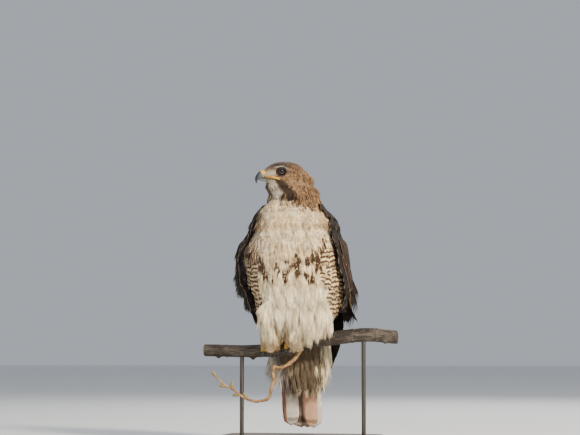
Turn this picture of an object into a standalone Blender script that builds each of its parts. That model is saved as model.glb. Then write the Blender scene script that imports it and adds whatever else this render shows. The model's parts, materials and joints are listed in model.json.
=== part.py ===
"""A red-tailed hawk at life size, perched on a short length of branch on a plain stand.

Metres, +Z up. The origin is on the floor under the middle of the stand's base.
The hawk's breast faces -Y, its left side is +X, and its head is turned to its right.
"""
import math
import random

import bmesh
import bpy
import numpy as np
from mathutils import Matrix, Vector

# Clearances and shared values
GAP = 0.0003
CUT_GROWTH = 0.00045
SEED = 11
SIDES = (("left", 1), ("right", -1))
UP = Vector((0.0, 0.0, 1.0))

# Stand
BASE_SIZE = (0.300, 0.220, 0.018)
BASE_CORNER_RADIUS = 0.030
BASE_EDGE_BEVEL = 0.003
ROD_RADIUS = 0.004
ROD_PLACES = {"left": 0.125, "right": -0.105}

# Perch: x, y and z of its axis, and its radius
BRANCH_AXIS = [
    (-0.176, -0.004, 0.1757, 0.0114),
    (-0.099, -0.001, 0.1742, 0.0116),
    (-0.059, 0.000, 0.1750, 0.0122),
    (-0.020, 0.000, 0.1805, 0.0126),
    (0.025, 0.000, 0.1895, 0.0127),
    (0.054, 0.000, 0.1954, 0.0127),
    (0.092, 0.001, 0.2010, 0.0130),
    (0.130, 0.003, 0.2036, 0.0128),
    (0.187, 0.008, 0.1990, 0.0124),
]
BRANCH_SIDES = 12
BRANCH_STEPS = 22
BRANCH_RING_SCARS = (-0.133, 0.105, 0.150)

# Twig under the perch: x, y, z and radius
TWIG_PATH = [
    (0.0060, -0.002, 0.1745, 0.0044),
    (-0.004, -0.010, 0.1580, 0.0034),
    (-0.018, -0.016, 0.1469, 0.0030),
    (-0.030, -0.018, 0.1430, 0.0029),
    (-0.038, -0.019, 0.1455, 0.0036),
    (-0.041, -0.020, 0.1342, 0.0026),
    (-0.040, -0.020, 0.1224, 0.0026),
    (-0.044, -0.021, 0.1084, 0.0026),
    (-0.046, -0.021, 0.0933, 0.0026),
    (-0.053, -0.022, 0.0848, 0.0027),
    (-0.063, -0.022, 0.0826, 0.0025),
    (-0.073, -0.022, 0.0815, 0.0025),
    (-0.090, -0.022, 0.0858, 0.0024),
    (-0.105, -0.022, 0.0944, 0.0022),
    (-0.120, -0.021, 0.1052, 0.0021),
    (-0.131, -0.021, 0.1095, 0.0020),
    (-0.142, -0.020, 0.1191, 0.0019),
    (-0.150, -0.020, 0.1277, 0.0018),
]
BUD_LENGTH = 0.014
BUD_RADIUS = 0.0032
# Row of the twig path that each bud grows from, and the way it points
TWIG_BUDS = [
    (12, (-0.5, 0.0, 0.8)),
    (13, (-1.0, 0.0, -0.2)),
    (14, (0.1, 0.1, 1.0)),
    (15, (-1.0, 0.0, 0.0)),
    (17, (-0.7, 0.0, 0.7)),
]

# Body: height, side offset, depth offset, half width, front, back and turn in degrees
NECK_CUT = 0.4470
BODY_SECTIONS = [
    (0.2060, -0.008, 0.012, 0.020, 0.014, 0.018, 0),
    (0.2080, -0.006, 0.010, 0.044, 0.028, 0.038, 0),
    (0.2140, -0.004, 0.007, 0.060, 0.038, 0.047, 0),
    (0.2230, -0.002, 0.005, 0.069, 0.050, 0.053, 0),
    (0.2360, -0.001, 0.004, 0.076, 0.062, 0.058, 0),
    (0.2570, 0.003, 0.004, 0.084, 0.074, 0.061, 0),
    (0.2840, 0.003, 0.004, 0.090, 0.081, 0.065, 0),
    (0.3120, -0.003, 0.004, 0.0945, 0.085, 0.067, 0),
    (0.3400, -0.007, 0.003, 0.0930, 0.085, 0.068, 0),
    (0.3560, -0.008, 0.002, 0.0920, 0.083, 0.068, 0),
    (0.3760, -0.007, 0.001, 0.0870, 0.079, 0.066, 0),
    (0.3980, -0.004, 0.000, 0.0775, 0.072, 0.062, 0),
    (0.4200, -0.004, -0.001, 0.0730, 0.062, 0.057, 0),
    (0.4400, -0.007, -0.002, 0.0600, 0.050, 0.047, 2),
    (0.4550, -0.005, -0.003, 0.0500, 0.041, 0.039, 8),
    (0.4680, -0.008, -0.004, 0.0485, 0.036, 0.035, 16),
    (0.4810, -0.013, -0.006, 0.0480, 0.031, 0.031, 24),
    (0.4930, -0.013, -0.006, 0.0400, 0.023, 0.023, 24),
    (0.5010, -0.012, -0.006, 0.0280, 0.016, 0.016, 24),
    (0.5050, -0.012, -0.006, 0.0120, 0.008, 0.008, 24),
]
BODY_ROUNDNESS = 2.25
BODY_SIDES = 28

# Head: its middle, the way it faces and the sections along it:
# forward, top, bottom and half width
HEAD_MIDDLE = Vector((-0.0187, -0.008, 0.497))
HEAD_TURN = math.radians(66.0)
HEAD_SECTIONS = [
    (-0.0500, -0.002, -0.018, 0.0080),
    (-0.0470, 0.005, -0.024, 0.0150),
    (-0.0410, 0.0105, -0.027, 0.0205),
    (-0.0320, 0.0185, -0.029, 0.0245),
    (-0.0220, 0.0265, -0.029, 0.0265),
    (-0.0120, 0.0305, -0.029, 0.0275),
    (0.0000, 0.0322, -0.027, 0.0278),
    (0.0120, 0.0320, -0.024, 0.0270),
    (0.0220, 0.0302, -0.0195, 0.0240),
    (0.0300, 0.0268, -0.0155, 0.0200),
    (0.0370, 0.0218, -0.0115, 0.0155),
    (0.0430, 0.0160, -0.0080, 0.0110),
    (0.0460, 0.0125, -0.0055, 0.0080),
]
HEAD_ROUNDNESS = 2.2
HEAD_SIDES = 20
EYE_RADIUS = 0.0105
EYE_PLACE = (0.0133, 0.0135, 0.0090)
LID_RING_RADIUS = 0.0083
LID_THICKNESS = 0.0016
LID_OUT = 0.0089

# Bill: forward, up, half width and half height along its spine
UPPER_BILL_SPINE = [
    (0.0340, 0.0058, 0.0104, 0.0076),
    (0.0420, 0.0056, 0.0097, 0.0078),
    (0.0480, 0.0050, 0.0078, 0.0072),
    (0.0520, 0.0024, 0.0060, 0.0055),
    (0.0558, -0.0018, 0.0040, 0.0038),
    (0.0572, -0.0070, 0.0022, 0.0019),
    (0.0570, -0.0120, 0.0008, 0.0007),
]
LOWER_BILL_SPINE = [
    (0.0300, -0.0062, 0.0088, 0.0034),
    (0.0400, -0.0052, 0.0074, 0.0032),
    (0.0470, -0.0044, 0.0054, 0.0026),
    (0.0515, -0.0046, 0.0022, 0.0012),
]
NOSTRIL_PLACE = (0.0440, 0.0094, 0.0088)
GAPE_LINE = [(0.0400, 0.0100, 0.0010), (0.0290, 0.0186, -0.0015), (0.0170, 0.0245, -0.0050)]
GAPE_RADIUS = 0.0015

# Wings: the surface that the folded feathers lie on, below the body's own sections:
# height, side offset, depth offset, half width, front and back
WING_LOWER_SECTIONS = [
    (0.1860, 0.005, 0.0500, 0.0740, 0.040, 0.0360, 0),
    (0.2100, 0.006, 0.0300, 0.0800, 0.050, 0.0500, 0),
    (0.2310, 0.006, 0.0140, 0.0810, 0.060, 0.0590, 0),
]
WING_BLEND_HEIGHT = 0.250
# Height, then the angles of the wing's front and back edges round the body
WING_EDGES = [
    (0.2200, 87, 172),
    (0.2800, 80, 172),
    (0.3400, 76, 171),
    (0.4000, 73, 166),
    (0.4400, 72, 150),
]
# Height, then the share of its full thickness that the wing has there
WING_THICKNESS = [
    (0.2300, 0.28),
    (0.2500, 0.50),
    (0.2800, 0.78),
    (0.3200, 1.00),
    (0.3900, 1.00),
    (0.4150, 0.75),
    (0.4380, 0.25),
]
WING_LIFT_FRONT = 0.0045
WING_LIFT_BACK = 0.0110

VANE_THICKNESS = 0.0008
VANE_STEP = 0.0012
VANE_TILT = 0.0010
VANE_ROOT_STAND = 0.0010
FRONT_LIMIT = -0.055
VANE_STATIONS = (0.0, 0.12, 0.55, 0.90, 1.0)
COVERT_STATIONS = (0.0, 0.14, 0.50, 0.86, 1.0)
# The shares of the wing, front to back, where a tier has its first and last feather
SECONDARY_SHARES = (6, 0.080, 0.940)
SECONDARY_ROOT = 0.322
SECONDARY_TIPS = (0.221, 0.236)
SECONDARY_STAND_OFF = 0.0010
SECONDARY_HALF_WIDTH = 0.0155
# The plane of the folded hand: a point on the left wing, the way it faces and its fall
HAND_ORIGIN = Vector((0.043, 0.070, 0.250))
HAND_OUTWARD = Vector((0.643, 0.765, 0.0))
HAND_DOWN = Vector((0.0187, 0.0222, -1.0))
HAND_MIDDLE = 0.015
HAND_REACH = (-0.024, 0.012)
HAND_DEPTH = 0.0020
HAND_HALF_WIDTH = 0.017
HAND_THICKNESS = 0.0135
HAND_STATIONS = (0.0, 0.5, 0.93)
# Places of each primary across the hand at its root and tip, and its length
PRIMARIES = [
    (0.0300, 0.010, 0.102),
    (0.0230, -0.009, 0.128),
    (0.0170, -0.026, 0.150),
    (0.0115, -0.036, 0.162),
    (0.0070, -0.035, 0.152),
    (0.0025, -0.032, 0.132),
]
PRIMARY_BOW = 0.0080
# The left wing hangs a little looser than the right: for the sign of the side, how far
# the wing's front edge stands away from the body at each height
WING_FLARES = {
    1: [(0.221, 0.024), (0.240, 0.016), (0.260, 0.009), (0.290, 0.003), (0.440, 0.000)],
    -1: [(0.221, 0.003), (0.260, 0.002), (0.300, 0.006), (0.330, 0.004), (0.440, 0.000)],
}
FLARE_FADE = 2.4
HAND_SPREAD = {1: 0.011, -1: 0.000}
# Tier, count and places of its feathers, root height, tip heights at the front and back,
# half width and stand-off; each tier's feathers lie over the gaps of the tier below
COVERT_TIERS = [
    ("greater", (6, 0.000, 0.854), 0.372, (0.286, 0.300), 0.0155, 0.0032),
    ("median", (6, 0.080, 0.940), 0.408, (0.330, 0.350), 0.0150, 0.0055),
    ("scapular", (3, 0.510, 0.854), 0.426, (0.392, 0.380), 0.0150, 0.0078),
]

# Tail
TAIL_VANE_THICKNESS = 0.0007
TAIL_STEP = 0.0010
TAIL_VANE_STATIONS = (0.0, 0.5, 0.95, 1.0)
TAIL_COVERT_STATIONS = (0.0, 0.5, 0.88, 1.0)
# Root, tip and half width
LOOSE_FEATHERS = [
    ((-0.044, 0.040, 0.178), (-0.0610, 0.0290, 0.100), 0.0095),
    ((-0.036, 0.042, 0.172), (-0.0450, 0.0330, 0.095), 0.0100),
]
# In front or behind, count, root height, tip height, spread, half width and depth
TAIL_COVERT_TIERS = [
    (True, 4, 0.176, 0.098, 0.040, 0.0180, 0.040),
    (True, 4, 0.190, 0.124, 0.048, 0.0180, 0.034),
    (False, 3, 0.180, 0.118, 0.030, 0.0170, 0.064),
]
TAIL_ROOT = Vector((-0.004, 0.046, 0.215))
TAIL_TIP = Vector((-0.004, 0.082, 0.028))
TAIL_FEATHER_PAIRS = 6
TAIL_FEATHER_HALF_WIDTH = 0.0195
TAIL_INNER_OFFSET = 0.006
TAIL_OUTER_OFFSET = 0.0195
TAIL_ROOT_SECTIONS = [
    (0.2340, -0.002, 0.036, 0.046, 0.014, 0.022, 0),
    (0.2080, -0.001, 0.043, 0.056, 0.016, 0.021, 0),
    (0.1860, 0.001, 0.046, 0.057, 0.018, 0.020, 0),
    (0.1600, 0.001, 0.049, 0.052, 0.019, 0.019, 0),
    (0.1350, 0.000, 0.053, 0.040, 0.016, 0.016, 0),
    (0.1150, -0.002, 0.057, 0.024, 0.009, 0.011, 0),
    (0.1080, -0.002, 0.058, 0.010, 0.004, 0.006, 0),
]

# Legs: where each foot stands along the perch, in x
FOOT_PLACES = {"left": -0.002, "right": -0.047}
THIGH_PLACES = {"left": 0.0030, "right": -0.0440}
THIGH_SECTIONS = [
    (0.1745, 0.000, -0.031, 0.0080, 0.004, 0.004, 0),
    (0.1800, 0.000, -0.029, 0.0160, 0.008, 0.009, 0),
    (0.1900, 0.000, -0.024, 0.0210, 0.019, 0.026, 0),
    (0.2050, 0.000, -0.018, 0.0222, 0.032, 0.036, 0),
    (0.2250, 0.000, -0.016, 0.0226, 0.046, 0.036, 0),
    (0.2480, 0.000, -0.014, 0.0220, 0.055, 0.028, 0),
    (0.2660, 0.000, -0.012, 0.0140, 0.058, 0.014, 0),
]
TOE_RADIUS = 0.0044
TOE_STEPS = 6
TARSUS_RADIUS = 0.0062
SHANK_TOP = 0.238
SLEEVE_STAND_OFF = 0.0102
# Toe name, sideways start and end, the angles that it wraps from the top of the perch,
# and its claw's length
TOES = [
    ("inner", 0.005, 0.015, 12, 98, 0.019),
    ("middle", 0.001, 0.001, 8, 104, 0.018),
    ("outer", -0.005, -0.014, 14, 96, 0.016),
    ("hind", 0.000, 0.004, -14, -98, 0.021),
]
CLAW_RADIUS = 0.0030
CLAW_STEPS = 5

COLOURS = {
    "brown_plumage": ((0.23, 0.13, 0.07), 0.9),
    "pale_plumage": ((0.74, 0.66, 0.52), 0.9),
    "dark_plumage": ((0.07, 0.045, 0.03), 0.9),
    "tail_plumage": ((0.52, 0.30, 0.19), 0.9),
    "eye": ((0.02, 0.01, 0.006), 0.1),
    "yellow_skin": ((0.72, 0.45, 0.05), 0.6),
    "horn": ((0.06, 0.06, 0.065), 0.35),
    "bark": ((0.20, 0.16, 0.12), 0.9),
    "twig_bark": ((0.42, 0.26, 0.11), 0.8),
    "stand_wood": ((0.10, 0.055, 0.03), 0.5),
    "rod_metal": ((0.35, 0.33, 0.30), 0.4),
}
METALS = {"rod_metal"}


class Track:
    """A smooth curve through rows of numbers, read by the rows' first number."""

    def __init__(self, rows):
        table = np.array(sorted(rows), dtype=float)
        self.keys = table[:, 0]
        self.values = table[:, 1:]
        steps = np.diff(self.keys)[:, None]
        slopes = np.diff(self.values, axis=0) / steps
        self.tangents = np.zeros_like(self.values)
        before, after = slopes[:-1], slopes[1:]
        same_way = before * after > 0
        total = np.where(same_way, before + after, 1.0)
        self.tangents[1:-1] = np.where(same_way, 2 * before * after / total, 0.0)
        self.tangents[0] = slopes[0]
        self.tangents[-1] = slopes[-1]

    def __call__(self, key):
        key = min(max(key, self.keys[0]), self.keys[-1])
        place = int(np.searchsorted(self.keys, key, side="right")) - 1
        place = min(max(place, 0), len(self.keys) - 2)
        span = self.keys[place + 1] - self.keys[place]
        t = (key - self.keys[place]) / span
        return (
            (2 * t ** 3 - 3 * t ** 2 + 1) * self.values[place]
            + (t ** 3 - 2 * t ** 2 + t) * span * self.tangents[place]
            + (3 * t ** 2 - 2 * t ** 3) * self.values[place + 1]
            + (t ** 3 - t ** 2) * span * self.tangents[place + 1]
        )


def mix(start, end, share):
    return start + (end - start) * share


def rounded(value, roundness):
    """The sine or cosine of a rounder or squarer section than an ellipse."""
    return math.copysign(abs(value) ** (2.0 / roundness), value)


def clear_scene():
    for obj in list(bpy.data.objects):
        bpy.data.objects.remove(obj, do_unlink=True)


def make_collection(name):
    collection = bpy.data.collections.new(name)
    bpy.context.scene.collection.children.link(collection)
    return collection


def make_materials():
    materials = {}
    for name, (colour, roughness) in COLOURS.items():
        material = bpy.data.materials.new(name)
        material.use_nodes = True
        shader = material.node_tree.nodes["Principled BSDF"]
        shader.inputs["Base Color"].default_value = (*colour, 1.0)
        shader.inputs["Roughness"].default_value = roughness
        shader.inputs["Metallic"].default_value = 1.0 if name in METALS else 0.0
        material.diffuse_color = (*colour, 1.0)
        materials[name] = material
    return materials


def new_object(name, mesh):
    obj = bpy.data.objects.new(name, mesh)
    bpy.context.scene.collection.objects.link(obj)
    return obj


def object_from_bmesh(name, shape):
    """A closed object whose faces all point outwards."""
    bmesh.ops.recalc_face_normals(shape, faces=shape.faces)
    mesh = bpy.data.meshes.new(name)
    shape.to_mesh(mesh)
    shape.free()
    return new_object(name, mesh)


def loft(name, rings):
    """A closed body through rings of equally many points."""
    shape = bmesh.new()
    rows = [[shape.verts.new(point) for point in ring] for ring in rings]
    count = len(rows[0])
    for low, high in zip(rows, rows[1:]):
        for i in range(count):
            j = (i + 1) % count
            shape.faces.new((low[i], low[j], high[j], high[i]))
    shape.faces.new(rows[0])
    shape.faces.new(rows[-1])
    return object_from_bmesh(name, shape)


def tapered_tube(name, points, radii, resolution=2):
    """A round tube along points, with a radius at each."""
    curve = bpy.data.curves.new(name, "CURVE")
    curve.dimensions = "3D"
    curve.bevel_depth = 1.0
    curve.bevel_resolution = resolution
    curve.use_fill_caps = True
    spline = curve.splines.new("POLY")
    spline.points.add(len(points) - 1)
    for knot, point, radius in zip(spline.points, points, radii):
        knot.co = (*point, 1.0)
        knot.radius = radius
    guide = new_object(name + "_curve", curve)
    depsgraph = bpy.context.evaluated_depsgraph_get()
    mesh = bpy.data.meshes.new_from_object(guide.evaluated_get(depsgraph))
    bpy.data.objects.remove(guide, do_unlink=True)
    shape = bmesh.new()
    shape.from_mesh(mesh)
    bpy.data.meshes.remove(mesh)
    bmesh.ops.remove_doubles(shape, verts=shape.verts, dist=1e-6)
    return object_from_bmesh(name, shape)


def ball(name, centre, radii, segments=12, rings=8):
    """A sphere or egg shape."""
    shape = bmesh.new()
    bmesh.ops.create_uvsphere(shape, u_segments=segments, v_segments=rings, radius=1.0)
    place = Matrix.Translation(centre) @ Matrix.Diagonal((*radii, 1.0))
    bmesh.ops.transform(shape, matrix=place, verts=shape.verts)
    return object_from_bmesh(name, shape)


def apply_modifiers(obj):
    depsgraph = bpy.context.evaluated_depsgraph_get()
    mesh = bpy.data.meshes.new_from_object(obj.evaluated_get(depsgraph))
    obj.modifiers.clear()
    old = obj.data
    obj.data = mesh
    bpy.data.meshes.remove(old)


def keep_largest(obj):
    """Drops loose scraps and the inner faces of sealed hollows."""
    shape = bmesh.new()
    shape.from_mesh(obj.data)
    bmesh.ops.triangulate(shape, faces=shape.faces)
    left = set(shape.faces)
    surfaces = []
    while left:
        stack = [left.pop()]
        surface = list(stack)
        while stack:
            for edge in stack.pop().edges:
                for face in edge.link_faces:
                    if face in left:
                        left.remove(face)
                        stack.append(face)
                        surface.append(face)
        surfaces.append(surface)
    if len(surfaces) > 1:
        kept = max(surfaces, key=surface_volume)
        for surface in surfaces:
            if surface is not kept:
                bmesh.ops.delete(shape, geom=surface, context="FACES")
        loose = [vert for vert in shape.verts if not vert.link_faces]
        bmesh.ops.delete(shape, geom=loose, context="VERTS")
    shape.to_mesh(obj.data)
    shape.free()


def surface_volume(faces):
    total = 0.0
    for face in faces:
        a, b, c = (vert.co for vert in face.verts)
        total += a.dot(b.cross(c)) / 6.0
    return total


def fuse(name, pieces):
    """Joins closed pieces that run into one another."""
    body = pieces[0]
    body.name = name
    group = make_collection(name + "_pieces")
    for piece in pieces[1:]:
        group.objects.link(piece)
    joiner = body.modifiers.new("join", "BOOLEAN")
    joiner.operation = "UNION"
    joiner.solver = "MANIFOLD"
    joiner.operand_type = "COLLECTION"
    joiner.collection = group
    apply_modifiers(body)
    for piece in pieces[1:]:
        bpy.data.objects.remove(piece, do_unlink=True)
    bpy.data.collections.remove(group)
    keep_largest(body)
    return body


def grown_copy(obj, growth=CUT_GROWTH):
    """A copy whose faces stand off by the gap between neighbours."""
    copy = new_object(obj.name + "_cutter", obj.data.copy())
    normals = [vert.normal.copy() for vert in obj.data.vertices]
    for vert, normal in zip(copy.data.vertices, normals):
        vert.co += normal * growth
    return copy


def form_copy(cutter):
    return grown_copy(cutter, 0.0)


def cut(body, *cutters, solver="EXACT"):
    """Takes the cutters out of a body, and then removes them."""
    for cutter in cutters:
        taker = body.modifiers.new("cut", "BOOLEAN")
        taker.operation = "DIFFERENCE"
        taker.solver = solver
        taker.object = cutter
        apply_modifiers(body)
        bpy.data.objects.remove(cutter, do_unlink=True)
    keep_largest(body)
    return body


def section_point(row, height, angle, lift=0.0, roundness=BODY_ROUNDNESS):
    """A point on a section: angle 0 is the front, 90 degrees the left side."""
    side, depth, half_width, front, back, turn = row
    reach = front if math.cos(angle) > 0 else back
    across = (half_width + lift) * rounded(math.sin(angle), roundness)
    along = -(reach + lift) * rounded(math.cos(angle), roundness)
    turn = math.radians(turn)
    x = across * math.cos(turn) - along * math.sin(turn)
    y = across * math.sin(turn) + along * math.cos(turn)
    return Vector((side + x, depth + y, height))


def section_rings(track, heights, sides):
    angles = [math.tau * i / sides for i in range(sides)]
    return [[section_point(track(z), z, a) for a in angles] for z in heights]


body_track = Track(BODY_SECTIONS)
wing_track = Track(
    WING_LOWER_SECTIONS + [row for row in BODY_SECTIONS if row[0] > WING_BLEND_HEIGHT]
)
wing_edges = Track(WING_EDGES)
wing_thickness = Track(WING_THICKNESS)
wing_flares = {sign: Track(rows) for sign, rows in WING_FLARES.items()}
branch_track = Track(BRANCH_AXIS)


def make_torso():
    keys = [row[0] for row in BODY_SECTIONS if row[0] < NECK_CUT]
    heights = keys + [NECK_CUT - GAP / 2]
    return loft("torso", section_rings(body_track, heights, BODY_SIDES))


def make_neck():
    heights = [NECK_CUT + GAP / 2]
    heights += [row[0] for row in BODY_SECTIONS if row[0] > NECK_CUT]
    return loft("neck", section_rings(body_track, heights, BODY_SIDES))


# Head

def head_frame():
    """Turns head places, given as forward, left and up, into the model's frame."""
    forward = Vector((-math.sin(HEAD_TURN), -math.cos(HEAD_TURN), 0.0))
    left = UP.cross(forward)
    frame = Matrix((forward, left, UP)).transposed().to_4x4()
    return Matrix.Translation(HEAD_MIDDLE) @ frame


def head_point(forward, left, up):
    return head_frame() @ Vector((forward, left, up))


def make_head_form():
    rings = []
    for forward, top, bottom, half_width in HEAD_SECTIONS:
        middle = (top + bottom) / 2
        half_height = (top - bottom) / 2
        ring = []
        for i in range(HEAD_SIDES):
            angle = math.tau * i / HEAD_SIDES
            left = half_width * rounded(math.sin(angle), HEAD_ROUNDNESS)
            up = middle + half_height * rounded(math.cos(angle), HEAD_ROUNDNESS)
            ring.append(head_point(forward, left, up))
        rings.append(ring)
    return loft("head", rings)


def lid_ring(sign):
    """The raised rim of the lids round one eye."""
    bpy.ops.mesh.primitive_torus_add(
        major_segments=12,
        minor_segments=4,
        major_radius=LID_RING_RADIUS,
        minor_radius=LID_THICKNESS,
    )
    ring = bpy.context.object
    place = Vector(EYE_PLACE)
    place.y = sign * (EYE_PLACE[1] + LID_OUT)
    turn = Matrix.Rotation(math.pi / 2, 4, "X")
    ring.data.transform(head_frame() @ Matrix.Translation(place) @ turn)
    ring.data.update()
    return ring


def brow_ridge(sign):
    """The ridge that shades the eye."""
    points = [(0.000, 0.0235, 0.0205), (0.010, 0.0245, 0.0195), (0.020, 0.0225, 0.0175),
              (0.028, 0.0180, 0.0145)]
    places = [head_point(f, sign * s, u) for f, s, u in points]
    return tapered_tube("brow", places, (0.0018, 0.0034, 0.0036, 0.0016), resolution=0)


def gape_lip(sign):
    """The fleshy line of the mouth from the bill to below the eye."""
    places = [head_point(f, sign * s, u) for f, s, u in GAPE_LINE]
    radii = (GAPE_RADIUS, GAPE_RADIUS, GAPE_RADIUS * 0.6)
    return tapered_tube("gape", places, radii, resolution=0)


def mouth_groove(sign):
    """The thin line between the lips, cut just under the gape's ridge."""
    places = [head_point(f, sign * (s + 0.0008), u - 0.0014) for f, s, u in GAPE_LINE]
    return tapered_tube("groove", places, (0.0007, 0.0007, 0.0005), resolution=0)


def eye_place(sign):
    return head_point(EYE_PLACE[0], sign * EYE_PLACE[1], EYE_PLACE[2])


def eye_well(sign):
    """The opening in the side of the head that shows the eye."""
    well = bmesh.new()
    bmesh.ops.create_cone(
        well, cap_ends=True, segments=12, radius1=0.0080, radius2=0.0100, depth=0.014,
    )
    place = Vector((EYE_PLACE[0], sign * (EYE_PLACE[1] + 0.0145), EYE_PLACE[2]))
    turn = Matrix.Rotation(-sign * math.pi / 2, 4, "X")
    bmesh.ops.transform(
        well, matrix=head_frame() @ Matrix.Translation(place) @ turn, verts=well.verts,
    )
    return object_from_bmesh("well", well)


def make_head_parts():
    """The head and what sits in and on it, and a cutter in the head's plain form."""
    head = make_head_form()
    form = grown_copy(head)
    cere, upper = make_upper_bill()
    cut(cere, form_copy(form))
    for sign in (1, -1):
        cut(cere, nostril(sign))
    lower = make_bill_tube("bill_lower", LOWER_BILL_SPINE, 0.0, len(LOWER_BILL_SPINE) - 1)
    cut(lower, form_copy(form), grown_copy(cere), grown_copy(upper), solver="MANIFOLD")
    cut(head, eye_well(1), eye_well(-1))
    extras = []
    for sign in (1, -1):
        extras += [lid_ring(sign), brow_ridge(sign), gape_lip(sign)]
    fuse("head", [head] + extras)
    eyes = {}
    for side, sign in SIDES:
        eyes[side] = ball("eye_" + side, eye_place(sign), (EYE_RADIUS,) * 3, 12, 8)
        cut(head, grown_copy(eyes[side]))
        cut(head, mouth_groove(sign))
    cut(head, grown_copy(cere), grown_copy(upper), grown_copy(lower))
    return head, eyes, cere, upper, lower, form


def make_bill_tube(name, rows, start, end, steps=9, sides=14):
    """A flattened tube along the bill's spine, from one row number to another."""
    spine = Track([(i, *row) for i, row in enumerate(rows)])
    rings = []
    for i in range(steps):
        key = mix(start, end, i / (steps - 1))
        forward, up, half_width, half_height = spine(key)
        ahead = spine(min(key + 0.45, len(rows) - 1))
        behind = spine(max(key - 0.45, 0))
        along = Vector((ahead[0] - behind[0], 0.0, ahead[1] - behind[1])).normalized()
        rise = Vector((-along.z, 0.0, along.x))
        ring = []
        for j in range(sides):
            angle = math.tau * j / sides
            point = Vector((forward, half_width * math.sin(angle), up))
            point += rise * half_height * math.cos(angle)
            ring.append(head_point(*point))
        rings.append(ring)
    return loft(name, rings)


def make_upper_bill():
    """The soft cere and the hooked horn in front of it."""
    split = 2.0
    gap_in_rows = GAP / 2 / 0.006
    cere = make_bill_tube("cere", UPPER_BILL_SPINE, 0.0, split - gap_in_rows, steps=5)
    upper = make_bill_tube(
        "bill_upper", UPPER_BILL_SPINE, split + gap_in_rows, len(UPPER_BILL_SPINE) - 1,
    )
    return cere, upper


def nostril(sign):
    forward, side, up = NOSTRIL_PLACE
    centre = head_point(forward, sign * side, up)
    return ball("nostril", centre, (0.0016, 0.0016, 0.0011), 8, 6)


# Wings

def wing_angle(share, height, sign):
    front, back = wing_edges(height)
    return sign * math.radians(mix(front, back, share))


def wing_point(share, height, lift, sign):
    """A place on the folded wing: share 0 is its front edge, 1 its edge at the back."""
    return section_point(
        wing_track(height), height, wing_angle(share, height, sign), lift,
    )


def wing_normal(share, height, sign):
    step = 0.01
    across = wing_point(share + step, height, 0, sign) - wing_point(share - step, height, 0, sign)
    rise = wing_point(share, height + step, 0, sign) - wing_point(share, height - step, 0, sign)
    return (across.cross(rise) * sign).normalized()


def wing_lift(share):
    """How far the long feathers stand off the body, from the front edge to the back."""
    return mix(WING_LIFT_FRONT, WING_LIFT_BACK, share)


def wing_flare(share, height, sign):
    """How much further the front edge hangs away from the body at a height."""
    return float(wing_flares[sign](height)[0]) * max(1.0 - FLARE_FADE * share, 0.0)


def make_wing_core(sign):
    """The arm and hand with their smallest feathers, from the shoulder down."""
    heights = np.linspace(0.438, 0.236, 9)
    outer_shares = np.linspace(0.0, 1.0, 8)
    inner_shares = np.linspace(1.0, 0.0, 4)
    rings = []
    for height in heights:
        thickness = float(wing_thickness(height)[0])
        ring = []
        for share in outer_shares:
            crown = 0.60 + 0.40 * math.sin(math.pi * min(max(share, 0.04), 0.96)) ** 0.6
            lift = wing_lift(share) * thickness * crown
            ring.append(wing_point(share, height, lift, sign))
        for share in inner_shares:
            ring.append(wing_point(share, height, -0.004, sign))
        rings.append(ring)
    return loft("wing_core", rings)


def feather(place, stations, half_width, thickness, width_at=None):
    """A closed, tapered vane; place(s, offset) is a point and normal from root 0 to tip 1."""
    shape = bmesh.new()
    rows = []
    for s in stations:
        width = half_width * (width_at or vane_width)(s)
        depth = thickness * mix(0.5, 0.3, s)
        places = [place(s, offset) for offset in (-width, 0.0, width)]
        top = [shape.verts.new(point + normal * depth) for point, normal in places]
        bottom = [shape.verts.new(point - normal * depth) for point, normal in places]
        rows.append((top, bottom))
    for low, high in zip(rows, rows[1:]):
        # Both faces are split along the same diagonals, so they stay apart
        for face in (0, 1):
            for i in (0, 1):
                a, b = low[face][i], low[face][i + 1]
                c, d = high[face][i + 1], high[face][i]
                shape.faces.new((a, b, c))
                shape.faces.new((a, c, d))
        for i in (0, 2):
            shape.faces.new((low[0][i], high[0][i], high[1][i]))
            shape.faces.new((low[0][i], high[1][i], low[1][i]))
    for top, bottom in (rows[0], rows[-1]):
        for i in (0, 1):
            shape.faces.new((top[i], top[i + 1], bottom[i + 1], bottom[i]))
    return object_from_bmesh("vane", shape)


def vane_width(s):
    """Narrow at the quill, full along the middle and rounded at the tip."""
    return min(1.0, 0.55 + 1.5 * s) * max(1.0 - s ** 7, 0.0) ** 0.5 + 0.10 * s ** 7


def wing_feather(sign, stations, start, end, half_width, lift):
    """A vane between two places on the wing, each a share and a height.

    Its root dives into the wing, and its front edge lies over its neighbour's back edge.
    """
    def place(s, offset):
        share = mix(start[0], end[0], s)
        height = mix(start[1], end[1], s)
        step = wing_point(share + 0.02, height, 0, sign) - wing_point(share, height, 0, sign)
        share = max(share + 0.02 * offset / step.length, FRONT_LIMIT)
        rise = min(s / stations[1], 1.0)
        full = lift + wing_lift(share) + wing_flare(share, height, sign)
        stand = mix(VANE_ROOT_STAND, full, rise)
        stand -= VANE_TILT * offset / half_width
        return wing_point(share, height, stand, sign), wing_normal(share, height, sign)
    return feather(place, stations, half_width, VANE_THICKNESS)


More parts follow.
